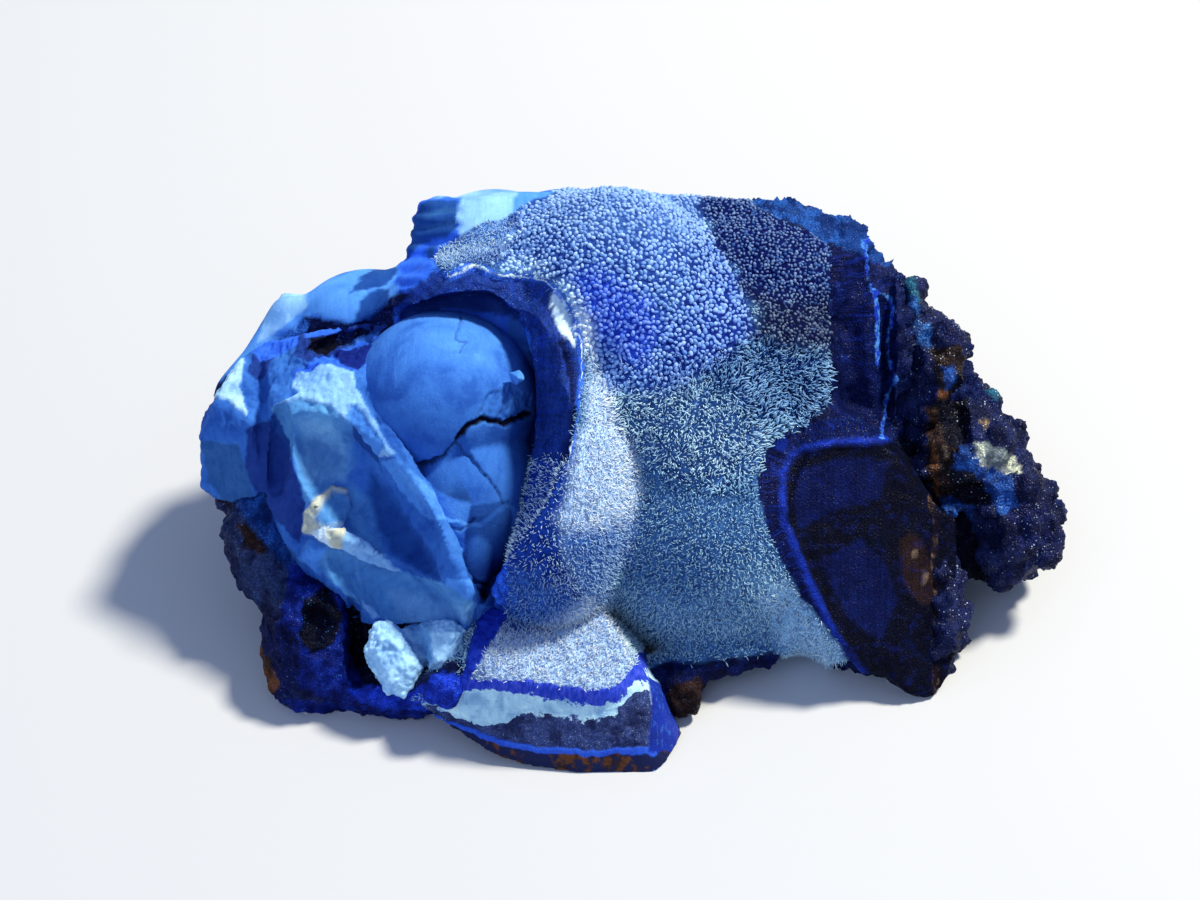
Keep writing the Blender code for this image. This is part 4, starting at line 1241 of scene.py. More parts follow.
domeDetail = {
    "voxel": 0.165,
    "cutDepth": -2.4,                # nothing of the domes goes deeper
    "scoopGap": 0.35,                # how far they keep back from the scoops
    "crackDepth": 0.36,
    "shade": srgb(68, 130, 222),
    "cracks": {                      # corners, half width in mm, strength
        "acrossLow": ([(-18.9, -1.8), (-16.6, -1.5), (-14.3, -0.5), (-13.1, 0.9)], 0.07, 0.75),
        "acrossHigh": ([(-13.1, 0.9), (-12.1, 2.3), (-10.6, 2.9), (-8.7, 2.4), (-6.4, 3.3)],
                       0.20, 1.0),
        "downRight": ([(-13.3, 0.5), (-12.0, -0.5), (-10.1, -2.6), (-8.7, -5.1)], 0.02, 0.45),
        "tongueTop": ([(-16.2, -6.3), (-14.7, -6.9), (-12.6, -7.4), (-11.5, -6.4)], 0.02, 0.5),
        "tongueFoot": ([(-13.8, -12.9), (-12.0, -12.0), (-10.2, -12.4)], 0.05, 0.7),
        "leftPlate": ([(-20.2, -1.8), (-20.3, -0.6), (-18.9, 0.0), (-17.8, -0.4)], 0.02, 0.5),
        "top": ([(-12.8, 12.3), (-13.1, 11.0), (-13.3, 10.1), (-12.3, 10.0), (-12.9, 9.0)],
                0.0, 0.45),
    },
    # the first midBlue patch on the lower dome and the denim patch on the lower right wall are
    # painted shade where the chalk turns from the light
    "patches": [
        ("midBlue", [(-18.8, -1.8), (-14.2, 0.9), (-11.0, -1.8), (-8.3, -2.8), (-8.1, -10.1),
            (-11.0, -13.8), (-14.7, -13.8), (-16.6, -6.4)]),
        ("chalkBlue", [(-20.6, -0.8), (-18.7, -0.6), (-14.2, -4.2), (-11.8, -5.0), (-12.8, -9.7),
            (-14.7, -10.1), (-17.9, -5.5)]),
        ("slate", [(-17.3, -2.0), (-14.2, 0.2), (-11.6, -5.0), (-14.2, -4.2), (-16.2, -2.8)]),
        ("midBlue", [(-12.7, 1.3), (-6.4, 3.5), (-6.4, -4.6), (-8.7, -5.5), (-11.6, -5.0),
            (-12.7, -2.6)]),
        ("denim", [(-11.8, -5.2), (-8.1, -4.6), (-8.1, -14.4), (-11.2, -14.2), (-12.3, -11.6),
            (-12.7, -9.8)]),
        ("chalkBlue", [(-14.3, -12.9), (-14.0, -11.8), (-12.0, -11.8), (-11.6, -13.1),
            (-12.1, -14.4), (-13.6, -14.4)]),
    ],
    "brokenPatch": [                 # where the skin has flaked off above the crack
        (-11.5, 2.6), (-10.2, 5.2), (-7.6, 5.8), (-6.2, 5.0), (-6.4, 2.9), (-8.8, 2.5),
    ],
    "plates": [                      # outline, drop and tilt along u and v
        ([(-18.9, -1.8), (-14.3, -0.5), (-12.6, 1.6), (-12.0, -0.5), (-10.1, -2.6), (-8.7, -5.1),
          (-11.0, -7.0), (-14.0, -6.4), (-17.5, -5.0)], -0.38, 0.02, -0.03),
        ([(-12.6, 1.6), (-8.7, 2.4), (-5.0, 3.0), (-5.0, -6.0), (-8.7, -5.1), (-10.1, -2.6),
          (-12.0, -0.5)], -0.15, -0.03, 0.03),
        ([(-14.7, -6.8), (-11.5, -6.6), (-8.7, -5.3), (-9.0, -11.0), (-12.0, -12.2),
          (-14.5, -12.0)], -0.10, 0.04, 0.0),
    ],
}


def makeDomes():
    # rounded chalk, cracked into plates
    domes = joinAll(addLobes(lobes["domes"], 6), "chalkDomes")
    fuse(domes, domeDetail["voxel"])
    ease(domes, 2)
    for name in ("upperScoop", "lowerScoop"):
        centre, radii, turn = rockShape["scoops"][name]
        cutAway(domes, addLobe(centre, [r + domeDetail["scoopGap"] for r in radii], turn))
    fuse(domes, domeDetail["voxel"])
    editAll(domes, bpy.ops.mesh.bisect, plane_co=(0, 0, domeDetail["cutDepth"] * mm),
            plane_no=(0, 0, -1), use_fill=True, clear_outer=True)
    places = placesOf(domes)
    spots = seen(places)
    wander = fractal(places, 1.1, 3)
    fine = fractal(places, 0.4, 2, 3.0)
    jagged = fray(spots, places, 0.16, wander, 0.8)
    crack = np.zeros(len(places))
    for line, halfWidth, strength in domeDetail["cracks"].values():
        gap = besideLine(jagged, line)[0]
        crack = np.maximum(crack, strength * closeTo(gap, halfWidth + 0.16, halfWidth))
    drop = np.zeros(len(places))
    for outline, level, tiltU, tiltV in domeDetail["plates"]:
        middle = np.mean(outline, axis=0)
        inside = within(jagged, outline, -0.12, 0.12)
        drop += inside * (level + (spots - middle) @ np.array([tiltU, tiltV]))
    broken = within(spots + 0.5 * wander[:, None], domeDetail["brokenPatch"], -0.15, 0.2)
    setField(domes, "crack", crack)
    shades = paint(jagged, domeDetail["shade"], domeDetail["patches"])
    # painted shade: the domes' lower part, turned from the light, is laid over with midBlue in two
    # soft bands; the flaked patch is darker chalk
    up = spots[:, 1]
    for share in (0.95 * ramp(-up, -9.0, -2.5) * ramp(up, -2.6, -0.6),
                  0.75 * ramp(-up, -7.5, -1.0) * ramp(up, -4.6, -2.6), 0.6 * broken):
        shades = layOver(shades, palette["midBlue"], share)
    setColours(domes, "shade", shades)
    relief = drop - domeDetail["crackDepth"] * crack + 0.035 * fractal(places, 2.5, 2)
    relief += 0.012 * fine
    relief += broken * (-0.22 + 0.18 * fractal(places, 0.7, 3, 6.0))
    swell(domes, relief)
    return domes


chalkLumpOutlines = {
    # outline, depth of its foot and of its top
    "ovalLump": ([(-20.4, -15.6), (-19.1, -15.5), (-17.7, -16.6), (-17.0, -18.2), (-15.9, -19.5),
        (-16.4, -20.9), (-17.6, -22.3), (-19.1, -21.8), (-20.4, -20.3), (-21.2, -18.2)], 2.5, 6.4),
    # the filling lump stands in the shaded gap between the oval and the wedge
    "filling": ([(-18.0, -16.2), (-15.5, -15.6), (-14.7, -17.5), (-15.1, -19.7), (-16.2, -19.7),
        (-17.3, -18.0)], 1.0, 4.2),
    "wedgeLump": ([(-16.2, -15.6), (-14.5, -15.8), (-13.0, -15.3), (-12.1, -16.2), (-12.8, -18.8),
        (-13.9, -20.1), (-15.3, -19.8), (-15.7, -17.8)], 2.5, 6.2),
}


def makeChalkLumps():
    parts = []
    for outline, low, high in chalkLumpOutlines.values():
        middle = np.mean(outline, axis=0)
        corners = [(u, v, low) for u, v in outline] + [(u, v, high - 1.0) for u, v in outline]
        corners += [(*(middle + 0.55 * (np.array(spot) - middle)), high) for spot in outline]
        parts.append(addBlock(corners))
    chalk = joinAll(parts, "chalkLumps")
    fuse(chalk, 0.14)
    ease(chalk, 5)
    places = placesOf(chalk)
    # painted shade: the gap between the oval and the wedge, filled by the middle lump, is painted
    # darker haze
    gap = [(-18.4, -14.2), (-16.0, -14.4), (-15.3, -19.7), (-15.9, -19.6), (-17.7, -16.6)]
    setColours(chalk, "shade", paint(seen(places), srgb(160, 210, 250), [("haze", gap)], 0.3))
    pits = fractal(places, 0.7, 3, 5.0)
    swell(chalk, 0.22 * fractal(places, 1.5, 2) + lumps(places, [(0.62, 0.0, 0.5, 0.16)])
          + 0.14 * pits)
    # a loose chip on the cavity's right wall
    chip = addBlock([(-8.2, 6.9, 6.2), (-7.2, 7.2, 6.4), (-6.7, 6.3, 6.6), (-7.5, 5.7, 6.5),
                     (-8.0, 6.2, 5.0), (-6.8, 6.8, 5.0), (-7.3, 6.4, 7.1)])
    fuse(chip, 0.12)
    setColours(chip, "shade", paint(seen(placesOf(chip)), palette["chalkBlue"], []))
    return joinAll([chalk, chip], "chalkLumps")


# Layered shelf at the front

shelfDetail = {
    "voxel": 0.17,
    "topEdge": [(-18.4, -23.0), (-15.6, -23.0), (-12.0, -21.0), (-6.6, -21.0), (-3.7, -21.6),
        (-0.2, -22.0), (1.6, -21.8), (3.3, -19.5), (9.2, -18.8)],
    "lowEdge": [(-18.4, -23.6), (-15.6, -24.3), (-9.1, -27.2), (-6.4, -27.7), (-2.9, -28.1),
        (7.2, -27.8), (9.2, -26.2)],
    "paleDip": [(-15.1, -23.9), (-13.6, -22.3), (-11.2, -22.1), (-7.7, -22.4), (-4.8, -23.4),
        (-7.0, -24.1), (-8.8, -25.2), (-10.9, -25.6), (-13.2, -24.7)],
    "darkRise": [(1.7, -23.7), (3.1, -22.3), (4.6, -22.1), (4.8, -27.1), (2.0, -26.9)],
    "leftEdge": [(-14.7, -23.0), (-12.7, -20.8), (-11.2, -15.6), (-9.6, -13.4), (-8.5, -13.8),
        (-8.6, -15.5), (-11.7, -20.8), (-12.9, -22.3)],
    "rightEnd": [(4.4, -20.8), (5.5, -21.5), (7.2, -24.1), (7.7, -27.1), (6.8, -28.5),
        (4.4, -27.8), (4.8, -23.6)],
    "bands": (0.22, 0.44, 0.90),     # where the deep, the pale and the dark layer end
}


def makeShelf():
    shelf = addBlock(blocks["shelf"])
    shelf.name = "layeredShelf"
    fuse(shelf, 0.3)
    ease(shelf, 5)
    fuse(shelf, shelfDetail["voxel"])
    places = placesOf(shelf)
    normals = normalsOf(shelf)
    spots = seen(places)
    wander = fractal(places, 2.2, 2)
    fine = fractal(places, 0.45, 2, 4.0)
    edges = []
    for name in ("topEdge", "lowEdge"):
        line = np.array(shelfDetail[name])
        edges.append(np.interp(spots[:, 0], line[:, 0], line[:, 1]))
    teeth = fractal(spots[:, [0, 0, 0]] * np.array([1.0, 0.0, 0.0]), 0.9, 2, 7.0)
    across = (edges[0] - spots[:, 1] + 0.25 * wander + 0.22 * teeth) / (edges[0] - edges[1])
    for name, level in (("paleDip", 0.33), ("darkRise", 0.70)):
        inside = within(spots, shelfDetail[name], -0.25, 0.35, 0.3 * teeth)
        across = across * (1 - inside) + level * inside
    front = ramp(normals[:, 2], -0.2, 0.2)
    # the underside counts as past the lowest layer
    across = across * front + 1.3 * (1 - front)
    setField(shelf, "acrossShelf", across)
    rightEnd = within(spots, shelfDetail["rightEnd"], -0.1, 0.1, 0.1 * wander)
    setField(shelf, "rightEnd", rightEnd)
    leftEdge = within(spots, shelfDetail["leftEdge"], -0.1, 0.1, 0.2 * wander)
    velvet = ramp(-across, -0.05, 0.01) * front * (1 - rightEnd) * (1 - leftEdge)
    setField(shelf, "velvet", velvet)
    setField(shelf, "feltShare", velvet)
    tips, feet = blendTones(spots, wander)
    setColours(shelf, "tipColour", tips)
    setColours(shelf, "footColour", layOver(feet, palette["royal"], leftEdge))
    layers = (1 - velvet) * (1 - rightEnd) * front
    deepEnd, paleEnd, darkEnd = shelfDetail["bands"]
    deep = ramp(-across, -deepEnd, -deepEnd + 0.06)
    pale = ramp(across, deepEnd, deepEnd + 0.06) * ramp(-across, -paleEnd, -paleEnd + 0.06)
    dark = ramp(across, paleEnd, paleEnd + 0.06) * ramp(-across, -darkEnd, -darkEnd + 0.04)
    relief = layers * (0.14 * deep - 0.10 * pale + dark * (0.04 + 0.18 * fine))
    relief += leftEdge * (0.12 * fine + 0.14 * wander)
    relief += layers * 0.16 * ramp(across, darkEnd, darkEnd + 0.04)
    relief += (1 - front) * (0.25 * wander + 0.12 * fine) + 0.05 * wander
    swell(shelf, relief)
    return shelf


# Craggy matrix at the right end

matrixDetail = {
    "voxel": 0.25,
    "patches": {                     # bed, and how many lumps sit on it
        "matrixUpper": ((30.9, 6.6, -6.4), (2.4, 5.6, 4.2), 18),
        "matrixKnob": ((29.6, 14.2, -6.0), (0.8, 1.5, 2.0), 2),
        "matrixBump": ((32.9, 9.5, -5.5), (1.6, 1.9, 3.0), 4),
        "matrixMiddle": ((34.3, -0.6, -6.5), (5.6, 6.4, 5.0), 26),
        "matrixEnd": ((39.0, -6.6, -6.0), (4.4, 6.0, 4.8), 26),
        "matrixTip": ((32.0, -15.0, -2.8), (1.9, 5.4, 3.6), 8),
        "matrixBack": ((29.0, 1.0, -12.0), (9.0, 9.0, 5.0), 26),
    },
    "hollows": {
        "matrixHollow": ((33.4, 3.6, -1.0), (1.4, 3.4, 3.4), 0),
        "matrixCleft": ((29.4, 8.4, -1.6), (0.6, 1.5, 2.4), 0),
        "matrixSlot": ((34.0, -4.2, -0.5), (2.8, 1.4, 4.0), 0),
    },
    "lumpSizes": (1.0, 1.9),
    "smallLumpSizes": (0.45, 0.95),
    "smallLumps": 260,
    "sink": 0.93,
    "relief": [(1.15, 0.0, 0.5, 0.26), (0.6, 4.0, 0.5, 0.16)],
    "seed": 11,
    "shades": [
        ("crust", [(33.1, 13.8), (36.8, 6.4), (42.3, 0.9), (43.7, -12.0), (36.8, -14.7),
            (31.3, -12.9), (31.7, -4.6), (35.4, -2.8), (35.9, 3.7), (32.2, 8.3)]),
        ("navy", [(36.8, -1.8), (40.5, -2.8), (42.9, -6.4), (42.3, -10.1), (37.7, -8.3)]),
        ("navy", [(29.9, 12.4), (33.9, 11.5), (42.3, 0.0), (38.6, 1.8), (35.4, 4.6), (33.1, 9.2)]),
        ("umber", [(30.4, 9.2), (33.1, 9.7), (34.2, 7.4), (33.1, 0.9), (33.3, -1.8),
            (31.7, -10.1), (30.2, -6.4), (29.9, 1.8), (31.3, 5.5)]),
        # painted shade: near black in the crust's hollows, cleft and slot
        ("night", [(32.0, 7.7), (33.3, 6.4), (33.9, 4.6), (33.7, 0.9), (32.0, 0.0), (31.1, 3.7)]),
        ("night", [(27.2, 11.0), (28.3, 10.7), (28.7, 9.2), (27.6, 8.3), (27.1, 9.6)]),
        ("night", [(32.2, -1.5), (35.4, -1.8), (36.3, -4.6), (34.5, -5.3), (32.7, -4.2)]),
        ("teal", [(27.6, 17.3), (28.7, 16.7), (29.6, 13.8), (29.3, 12.7), (28.3, 13.8)]),
        ("teal", [(35.3, 6.8), (37.0, 5.2), (36.6, 4.4), (35.1, 5.7)]),
        ("slate", [(27.8, 14.2), (29.3, 14.0), (29.6, 12.3), (28.2, 12.5)]),
        ("slate", [(28.7, 12.1), (30.4, 11.8), (30.5, 9.2), (29.3, 9.8)]),
        ("denim", [(31.3, 7.4), (32.8, 8.1), (32.9, 6.1), (32.0, 5.3)]),
        ("denim", [(33.1, 0.4), (35.4, 0.9), (37.7, -1.8), (38.5, -5.1), (36.8, -6.0),
            (34.5, -1.8), (32.2, -2.0)]),
        ("denim", [(30.4, -4.6), (32.2, -4.2), (34.5, -5.1), (33.6, -7.4), (31.3, -7.8)]),
        ("limonite", [(30.9, 5.7), (32.4, 5.3), (32.0, 4.4), (31.1, 4.8)]),
        ("limonite", [(29.8, 4.2), (30.8, 3.9), (30.9, 2.4), (30.2, 2.8)]),
        ("limonite", [(30.5, 0.9), (30.9, 0.0), (31.2, -2.8), (31.1, -7.0), (30.8, -6.4),
            (30.6, -2.8)]),
        ("cream", [(34.2, 0.8), (35.5, 0.8), (38.2, -0.6), (38.7, -2.0), (37.4, -2.2),
            (36.2, -1.5), (35.5, -1.7), (34.8, -0.6)]),
        ("tan", [(34.8, 2.9), (35.9, 2.8), (35.3, 1.8)]),
        ("tan", [(31.6, 0.0), (32.0, 0.4), (32.2, -0.6), (31.7, -1.1)]),
        ("tan", [(32.4, -6.4), (33.3, -6.8), (32.9, -7.5), (32.2, -7.2)]),
    ],
}


def makeMatrix():
    rng = random.Random(matrixDetail["seed"])
    sink = matrixDetail["sink"]
    parts = []
    lump = addLobe((0, 0, 0), (1, 1, 1), fineness=3)

    def putLump(spot, size, tall):
        one = copyMesh(lump, "lump")
        one.matrix_world = Matrix.LocRotScale(Vector(spot) * mm, None,
                                              Vector((size, tall, size)))
        parts.append(one)

    for centre, radii, count in matrixDetail["patches"].values():
        parts.append(addLobe(centre, [radius * sink for radius in radii], fineness=4))
        for _ in range(count):
            way = Vector([rng.gauss(0.0, 1.0) for _ in range(3)]).normalized()
            spot = [centre[i] + way[i] * radii[i] * sink for i in range(3)]
            size = rng.uniform(*matrixDetail["lumpSizes"])
            putLump(spot, size, size * rng.uniform(0.8, 1.2))
    beds = list(matrixDetail["patches"].values())
    for _ in range(matrixDetail["smallLumps"]):
        centre, radii, _ = rng.choice(beds)
        way = Vector([rng.gauss(0.0, 1.0) for _ in range(3)]).normalized()
        spot = [centre[i] + way[i] * radii[i] * rng.uniform(0.94, 1.10) for i in range(3)]
        size = rng.uniform(*matrixDetail["smallLumpSizes"])
        putLump(spot, size, size)
    bpy.data.objects.remove(lump, do_unlink=True)
    crust = joinAll(parts, "matrixCrust")
    fuse(crust, 0.3)
    for hollow in matrixDetail["hollows"].values():
        cutAway(crust, addLobe(*hollow))
    fuse(crust, matrixDetail["voxel"])
    places = placesOf(crust)
    wander = fractal(places, 2.0, 2)
    fine = fractal(places, 0.6, 2, 3.0)
    spots = seen(places)
    jagged = fray(spots, places, 0.35, fine, 0.8)
    shades = paint(jagged, palette["crust"], matrixDetail["shades"])
    behind = 1 - ramp(places[:, 2], -10.0, -6.0)
    setColours(crust, "shade", layOver(shades, palette["crust"], behind))
    swell(crust, lumps(places, matrixDetail["relief"]) + 0.16 * wander + 0.10 * fine)
    return crust


# Small crystals: one modelled of each kind, then scattered

grainKinds = {
    # spacing in mm and most to a square mm, sizes, lean in radians and how far neighbours
    # share it, sink in mm
    "velvetBeads": {"density": "beadShare", "spacing": 0.35, "perArea": 18.0,
                    "size": (0.62, 1.22), "lean": 0.6, "flow": 0.3, "sink": 0.12, "seed": 3},
    "slopeBeads": {"density": "slopeShare", "spacing": 0.25, "perArea": 15.0,
                   "size": (0.36, 0.78), "lean": 1.2, "flow": 0.4, "sink": 0.03, "seed": 5},
    "velvetBlades": {"density": "bladeShare", "spacing": 0.14, "perArea": 32.0,
                     "size": (0.50, 0.98), "lean": 1.15, "flow": 0.65, "sink": 0.02, "seed": 7},
    "velvetFelt": {"density": "feltShare", "spacing": 0.11, "perArea": 27.0,
                   "size": (0.60, 1.2), "lean": 1.15, "flow": 0.3, "sink": 0.02, "seed": 9},
    "shelfFelt": {"density": "feltShare", "spacing": 0.10, "perArea": 36.0,
                  "size": (0.65, 1.2), "lean": 1.1, "flow": 0.3, "sink": 0.02, "seed": 13},
}


def tipField(obj):
    # 0 at a grain's foot, 1 at its top
    heights = placesOf(obj)[:, 2]
    setField(obj, "tip", ramp(heights, heights.min(), heights.max()))
    return obj


def makeBead():
    bpy.ops.mesh.primitive_uv_sphere_add(segments=7, ring_count=5, radius=0.27 * mm)
    bead = bpy.context.active_object
    bead.scale = (1.0, 0.86, 1.12)
    applyPlace(bead)
    places = placesOf(bead)
    swell(bead, 0.10 * fractal(places, 0.3, 2, 4.0))
    bead.data.shade_smooth()
    return tipField(bead)


def makeBlade():
    # a flat rod with a chisel point
    bpy.ops.mesh.primitive_cube_add(size=1.0)
    blade = bpy.context.active_object
    blade.scale = Vector((0.17, 0.10, 0.86)) * mm
    applyPlace(blade)
    places = placesOf(blade)
    places[:, 2] += 0.40
    top = places[:, 2] > 0.4
    places[top, 0] *= 0.45
    places[top, 1] *= 0.6
    movePoints(blade, places)
    return tipField(blade)


def makeNeedle(length, width):
    # a three-sided spine
    bpy.ops.mesh.primitive_cone_add(vertices=3, radius1=width / 2 * mm, radius2=width / 6 * mm,
                                    depth=length * mm, location=(0, 0, length * 0.42 * mm),
                                    end_fill_type="NOTHING")
    needle = bpy.context.active_object
    applyPlace(needle)
    editAll(needle, bpy.ops.mesh.fill_holes, sides=4)
    editAll(needle, bpy.ops.mesh.normals_make_consistent, inside=False)
    return tipField(needle)


def scatterTree(grain, settings):
    tree = bpy.data.node_groups.new("scatter_" + grain.name, "GeometryNodeTree")
    tree.interface.new_socket("Geometry", in_out="INPUT", socket_type="NodeSocketGeometry")
    tree.interface.new_socket("Geometry", in_out="OUTPUT", socket_type="NodeSocketGeometry")
    ground = addNode(tree, "NodeGroupInput").outputs[0]
    share = addNode(tree, "GeometryNodeInputNamedAttribute", {"Name": settings["density"]},
                    data_type="FLOAT").outputs[0]
    spread = addNode(tree, "GeometryNodeDistributePointsOnFaces",
                     {"Mesh": ground, "Distance Min": settings["spacing"] * mm,
                      "Density Max": settings["perArea"] / mm ** 2, "Density Factor": share,
                      "Seed": settings["seed"]}, distribute_method="POISSON")
    lean, seed = settings["lean"], settings["seed"]
    own = addNode(tree, "FunctionNodeRandomValue",
                  {0: (-lean, -lean, -math.pi), 1: (lean, lean, math.pi), "Seed": seed + 1},
                  data_type="FLOAT_VECTOR").outputs[0]
    # neighbours lean much the same way
    flow = addNode(tree, "ShaderNodeTexNoise", {"Scale": 420.0, "Detail": 2.0}).outputs["Color"]
    shared = addNode(tree, "ShaderNodeVectorMath",
                     {0: addNode(tree, "ShaderNodeVectorMath", {0: flow, 1: (0.5, 0.5, 0.5)},
                                 operation="SUBTRACT").outputs[0],
                      1: (lean * 5.0, lean * 5.0, 16.0)}, operation="MULTIPLY").outputs[0]
    turn = addNode(tree, "ShaderNodeMix", {0: settings["flow"], 4: own, 5: shared},
                   data_type="VECTOR").outputs[1]
    turned = addNode(tree, "FunctionNodeRotateRotation",
                     {"Rotation": spread.outputs["Rotation"], "Rotate By": turn},
                     rotation_space="LOCAL").outputs[0]
    low, high = settings["size"]
    size = addNode(tree, "FunctionNodeRandomValue",
                   {0: (low, low, low), 1: (high, high, high * 1.2), "Seed": seed + 2},
                   data_type="FLOAT_VECTOR").outputs[0]
    tint = addNode(tree, "FunctionNodeRandomValue", {2: 0.0, 3: 1.0, "Seed": seed + 3},
                   data_type="FLOAT").outputs[1]
    tinted = addNode(tree, "GeometryNodeStoreNamedAttribute",
                     {"Geometry": spread.outputs["Points"], "Name": "grainTint", "Value": tint},
                     data_type="FLOAT", domain="POINT").outputs[0]
    shape = addNode(tree, "GeometryNodeObjectInfo", {"Object": grain}).outputs["Geometry"]
    placed = addNode(tree, "GeometryNodeInstanceOnPoints",
                     {"Points": tinted, "Instance": shape, "Rotation": turned,
                      "Scale": size}).outputs[0]
    made = addNode(tree, "GeometryNodeRealizeInstances", {"Geometry": placed}).outputs[0]
    addNode(tree, "NodeGroupOutput", {0: made})
    return tree


def scatter(ground, grain, name, settings):
    made = copyMesh(ground, name)
    swell(made, np.full(len(made.data.vertices), -settings["sink"]))
    applyModifier(made, "NODES", node_group=scatterTree(grain, settings))
    return made


# Finishes

def makeChalkGroup():
    # dense powdery azurite: soft blotches, fine grain and faint scratches
    tree, given, out = startGroup(
        "chalkGrain", [("Vector", "Vector"), ("Color", "Color"), ("Blotch", "Float")],
        [("Color", "Color"), ("Roughness", "Float"), ("Height", "Float")])
    blotch = noiseNode(tree, given["Vector"], given["Blotch"], 5.0, 0.62, 0.4)
    grain = noiseNode(tree, given["Vector"], 5200.0, 3.0, 0.7)
    speck = stretch(tree, noiseNode(tree, given["Vector"], 1700.0, 3.0, 0.6), 0.58, 0.72)
    deep = tinted(tree, given["Color"], (0.45, 0.55, 0.72))
    pale = tinted(tree, given["Color"], (1.42, 1.30, 1.14))
    colour = mixColours(tree, stretch(tree, blotch, 0.32, 0.52), deep, given["Color"])
    colour = mixColours(tree, stretch(tree, blotch, 0.50, 0.70), colour, pale)
    colour = mixColours(tree, times(tree, speck, 0.30), colour, pale)
    dust = times(tree, stretch(tree, grain, 0.35, 0.7), 0.25)
    colour = mixColours(tree, dust, colour, deep)
    turned = scaledPlace(tree, given["Vector"], (1.0, 0.16, 0.5), (0.3, 0.4, 0.6))
    streak = noiseNode(tree, turned, 1500.0, 3.0, 0.6, 0.5)
    colour = mixColours(tree, stretch(tree, streak, 0.50, 0.66, 0.0, 0.28), colour, deep)
    height = mathNode(tree, "ADD", times(tree, grain, 0.6),
                      times(tree, blotch, 0.8))
    height = mathNode(tree, "SUBTRACT", height, times(tree, streak, 0.6))
    tree.links.new(colour, out["Color"])
    tree.links.new(stretch(tree, grain, 0.3, 0.7, 0.72, 0.95), out["Roughness"])
    tree.links.new(height, out["Height"])
    return tree


def makeDrusyGroup():
    # a crust of tiny dark crystals; the glints of those that catch the light are painted highlights
    tree, given, out = startGroup(
        "drusyCrust",
        [("Vector", "Vector"), ("Color", "Color"), ("PaintedGlint", "Color"), ("Scale", "Float"),
         ("Glitter", "Float")],
        [("Color", "Color"), ("Roughness", "Float"), ("Height", "Float")])
    cell = addNode(tree, "ShaderNodeTexVoronoi",
                   {"Vector": given["Vector"], "Scale": given["Scale"]}, feature="F1").outputs
    parts = addNode(tree, "ShaderNodeSeparateColor", {0: cell["Color"]}).outputs
    chance, tone = parts[0], parts[1]
    patch = noiseNode(tree, given["Vector"], 520.0, 5.0, 0.65)
    dark = tinted(tree, given["Color"], (0.25, 0.28, 0.40))
    lit = tinted(tree, given["Color"], (1.60, 1.65, 1.60))
    colour = mixColours(tree, stretch(tree, patch, 0.38, 0.60), dark, lit)
    edge = stretch(tree, cell["Distance"], 0.25, 0.75)
    colour = mixColours(tree, times(tree, edge, 0.55), colour, dark)
    colour = mixColours(tree, stretch(tree, tone, 0.55, 0.20, 0.0, 0.4), colour, dark)
    # painted highlights: a few clustered cells take the bright glint colour, standing in for
    # crystals that catch the light
    cluster = noiseNode(tree, given["Vector"], 260.0, 3.0, 0.6)
    shine = times(tree, stretch(tree, chance, 0.84, 0.97), given["Glitter"])
    shine = times(tree, shine, stretch(tree, cluster, 0.44, 0.62, 0.15, 1.0))
    shine = times(tree, shine, stretch(tree, cell["Distance"], 0.42, 0.22))
    colour = mixColours(tree, shine, colour, given["PaintedGlint"])
    tree.links.new(colour, out["Color"])
    tree.links.new(stretch(tree, chance, 0.1, 0.95, 0.70, 0.25), out["Roughness"])
    height = mathNode(tree, "ADD", times(tree, chance, 0.7),
                      mathNode(tree, "SUBTRACT", 0.6, cell["Distance"]))
    tree.links.new(height, out["Height"])
    return tree


def makeFibreGroup():
    # growth layers: the spot's x runs along a layer, its y across, and fibres stand across
    tree, given, out = startGroup(
        "growthFibres",
        [("Spot", "Vector"), ("Color", "Color"), ("Bright", "Color"), ("Amount", "Float")],
        [("Color", "Color"), ("Height", "Float")])
    fibres = noiseNode(tree, scaledPlace(tree, given["Spot"], (3.4, 0.45, 1.0)), 1.0, 3.0, 0.65)
    layers = noiseNode(tree, scaledPlace(tree, given["Spot"], (0.25, 2.6, 0.4)), 1.0, 3.0, 0.6)
    dark = tinted(tree, given["Color"], (0.34, 0.40, 0.55))
    colour = mixColours(tree, stretch(tree, layers, 0.42, 0.58), dark, given["Color"])
    streak = times(tree, stretch(tree, fibres, 0.50, 0.70), given["Amount"])
    colour = mixColours(tree, streak, colour, given["Bright"])
    colour = mixColours(tree, times(tree, stretch(tree, fibres, 0.5, 0.36), 0.6),
                        colour, dark)
    tree.links.new(colour, out["Color"])
    tree.links.new(mathNode(tree, "ADD", fibres, times(tree, layers, 0.6)),
                   out["Height"])
    return tree


def makeStainGroup():
    # brown iron stain in blotches
    tree, given, out = startGroup(
        "ironStain", [("Vector", "Vector"), ("Color", "Color"), ("Amount", "Float")],
        [("Color", "Color")])
    large = noiseNode(tree, given["Vector"], 190.0, 4.0, 0.62)
    small = noiseNode(tree, given["Vector"], 1300.0, 3.0, 0.6)
    spot = mathNode(tree, "ADD", times(tree, large, 0.7),
                    times(tree, small, 0.3))
    edge = mathNode(tree, "SUBTRACT", 0.80, times(tree, given["Amount"], 0.36))
    mask = stretch(tree, spot, edge, mathNode(tree, "ADD", edge, 0.06))
    stain = mixColours(tree, stretch(tree, small, 0.40, 0.65), palette["umber"],
                       palette["limonite"])
    tree.links.new(mixColours(tree, mask, given["Color"], stain), out["Color"])
    return tree


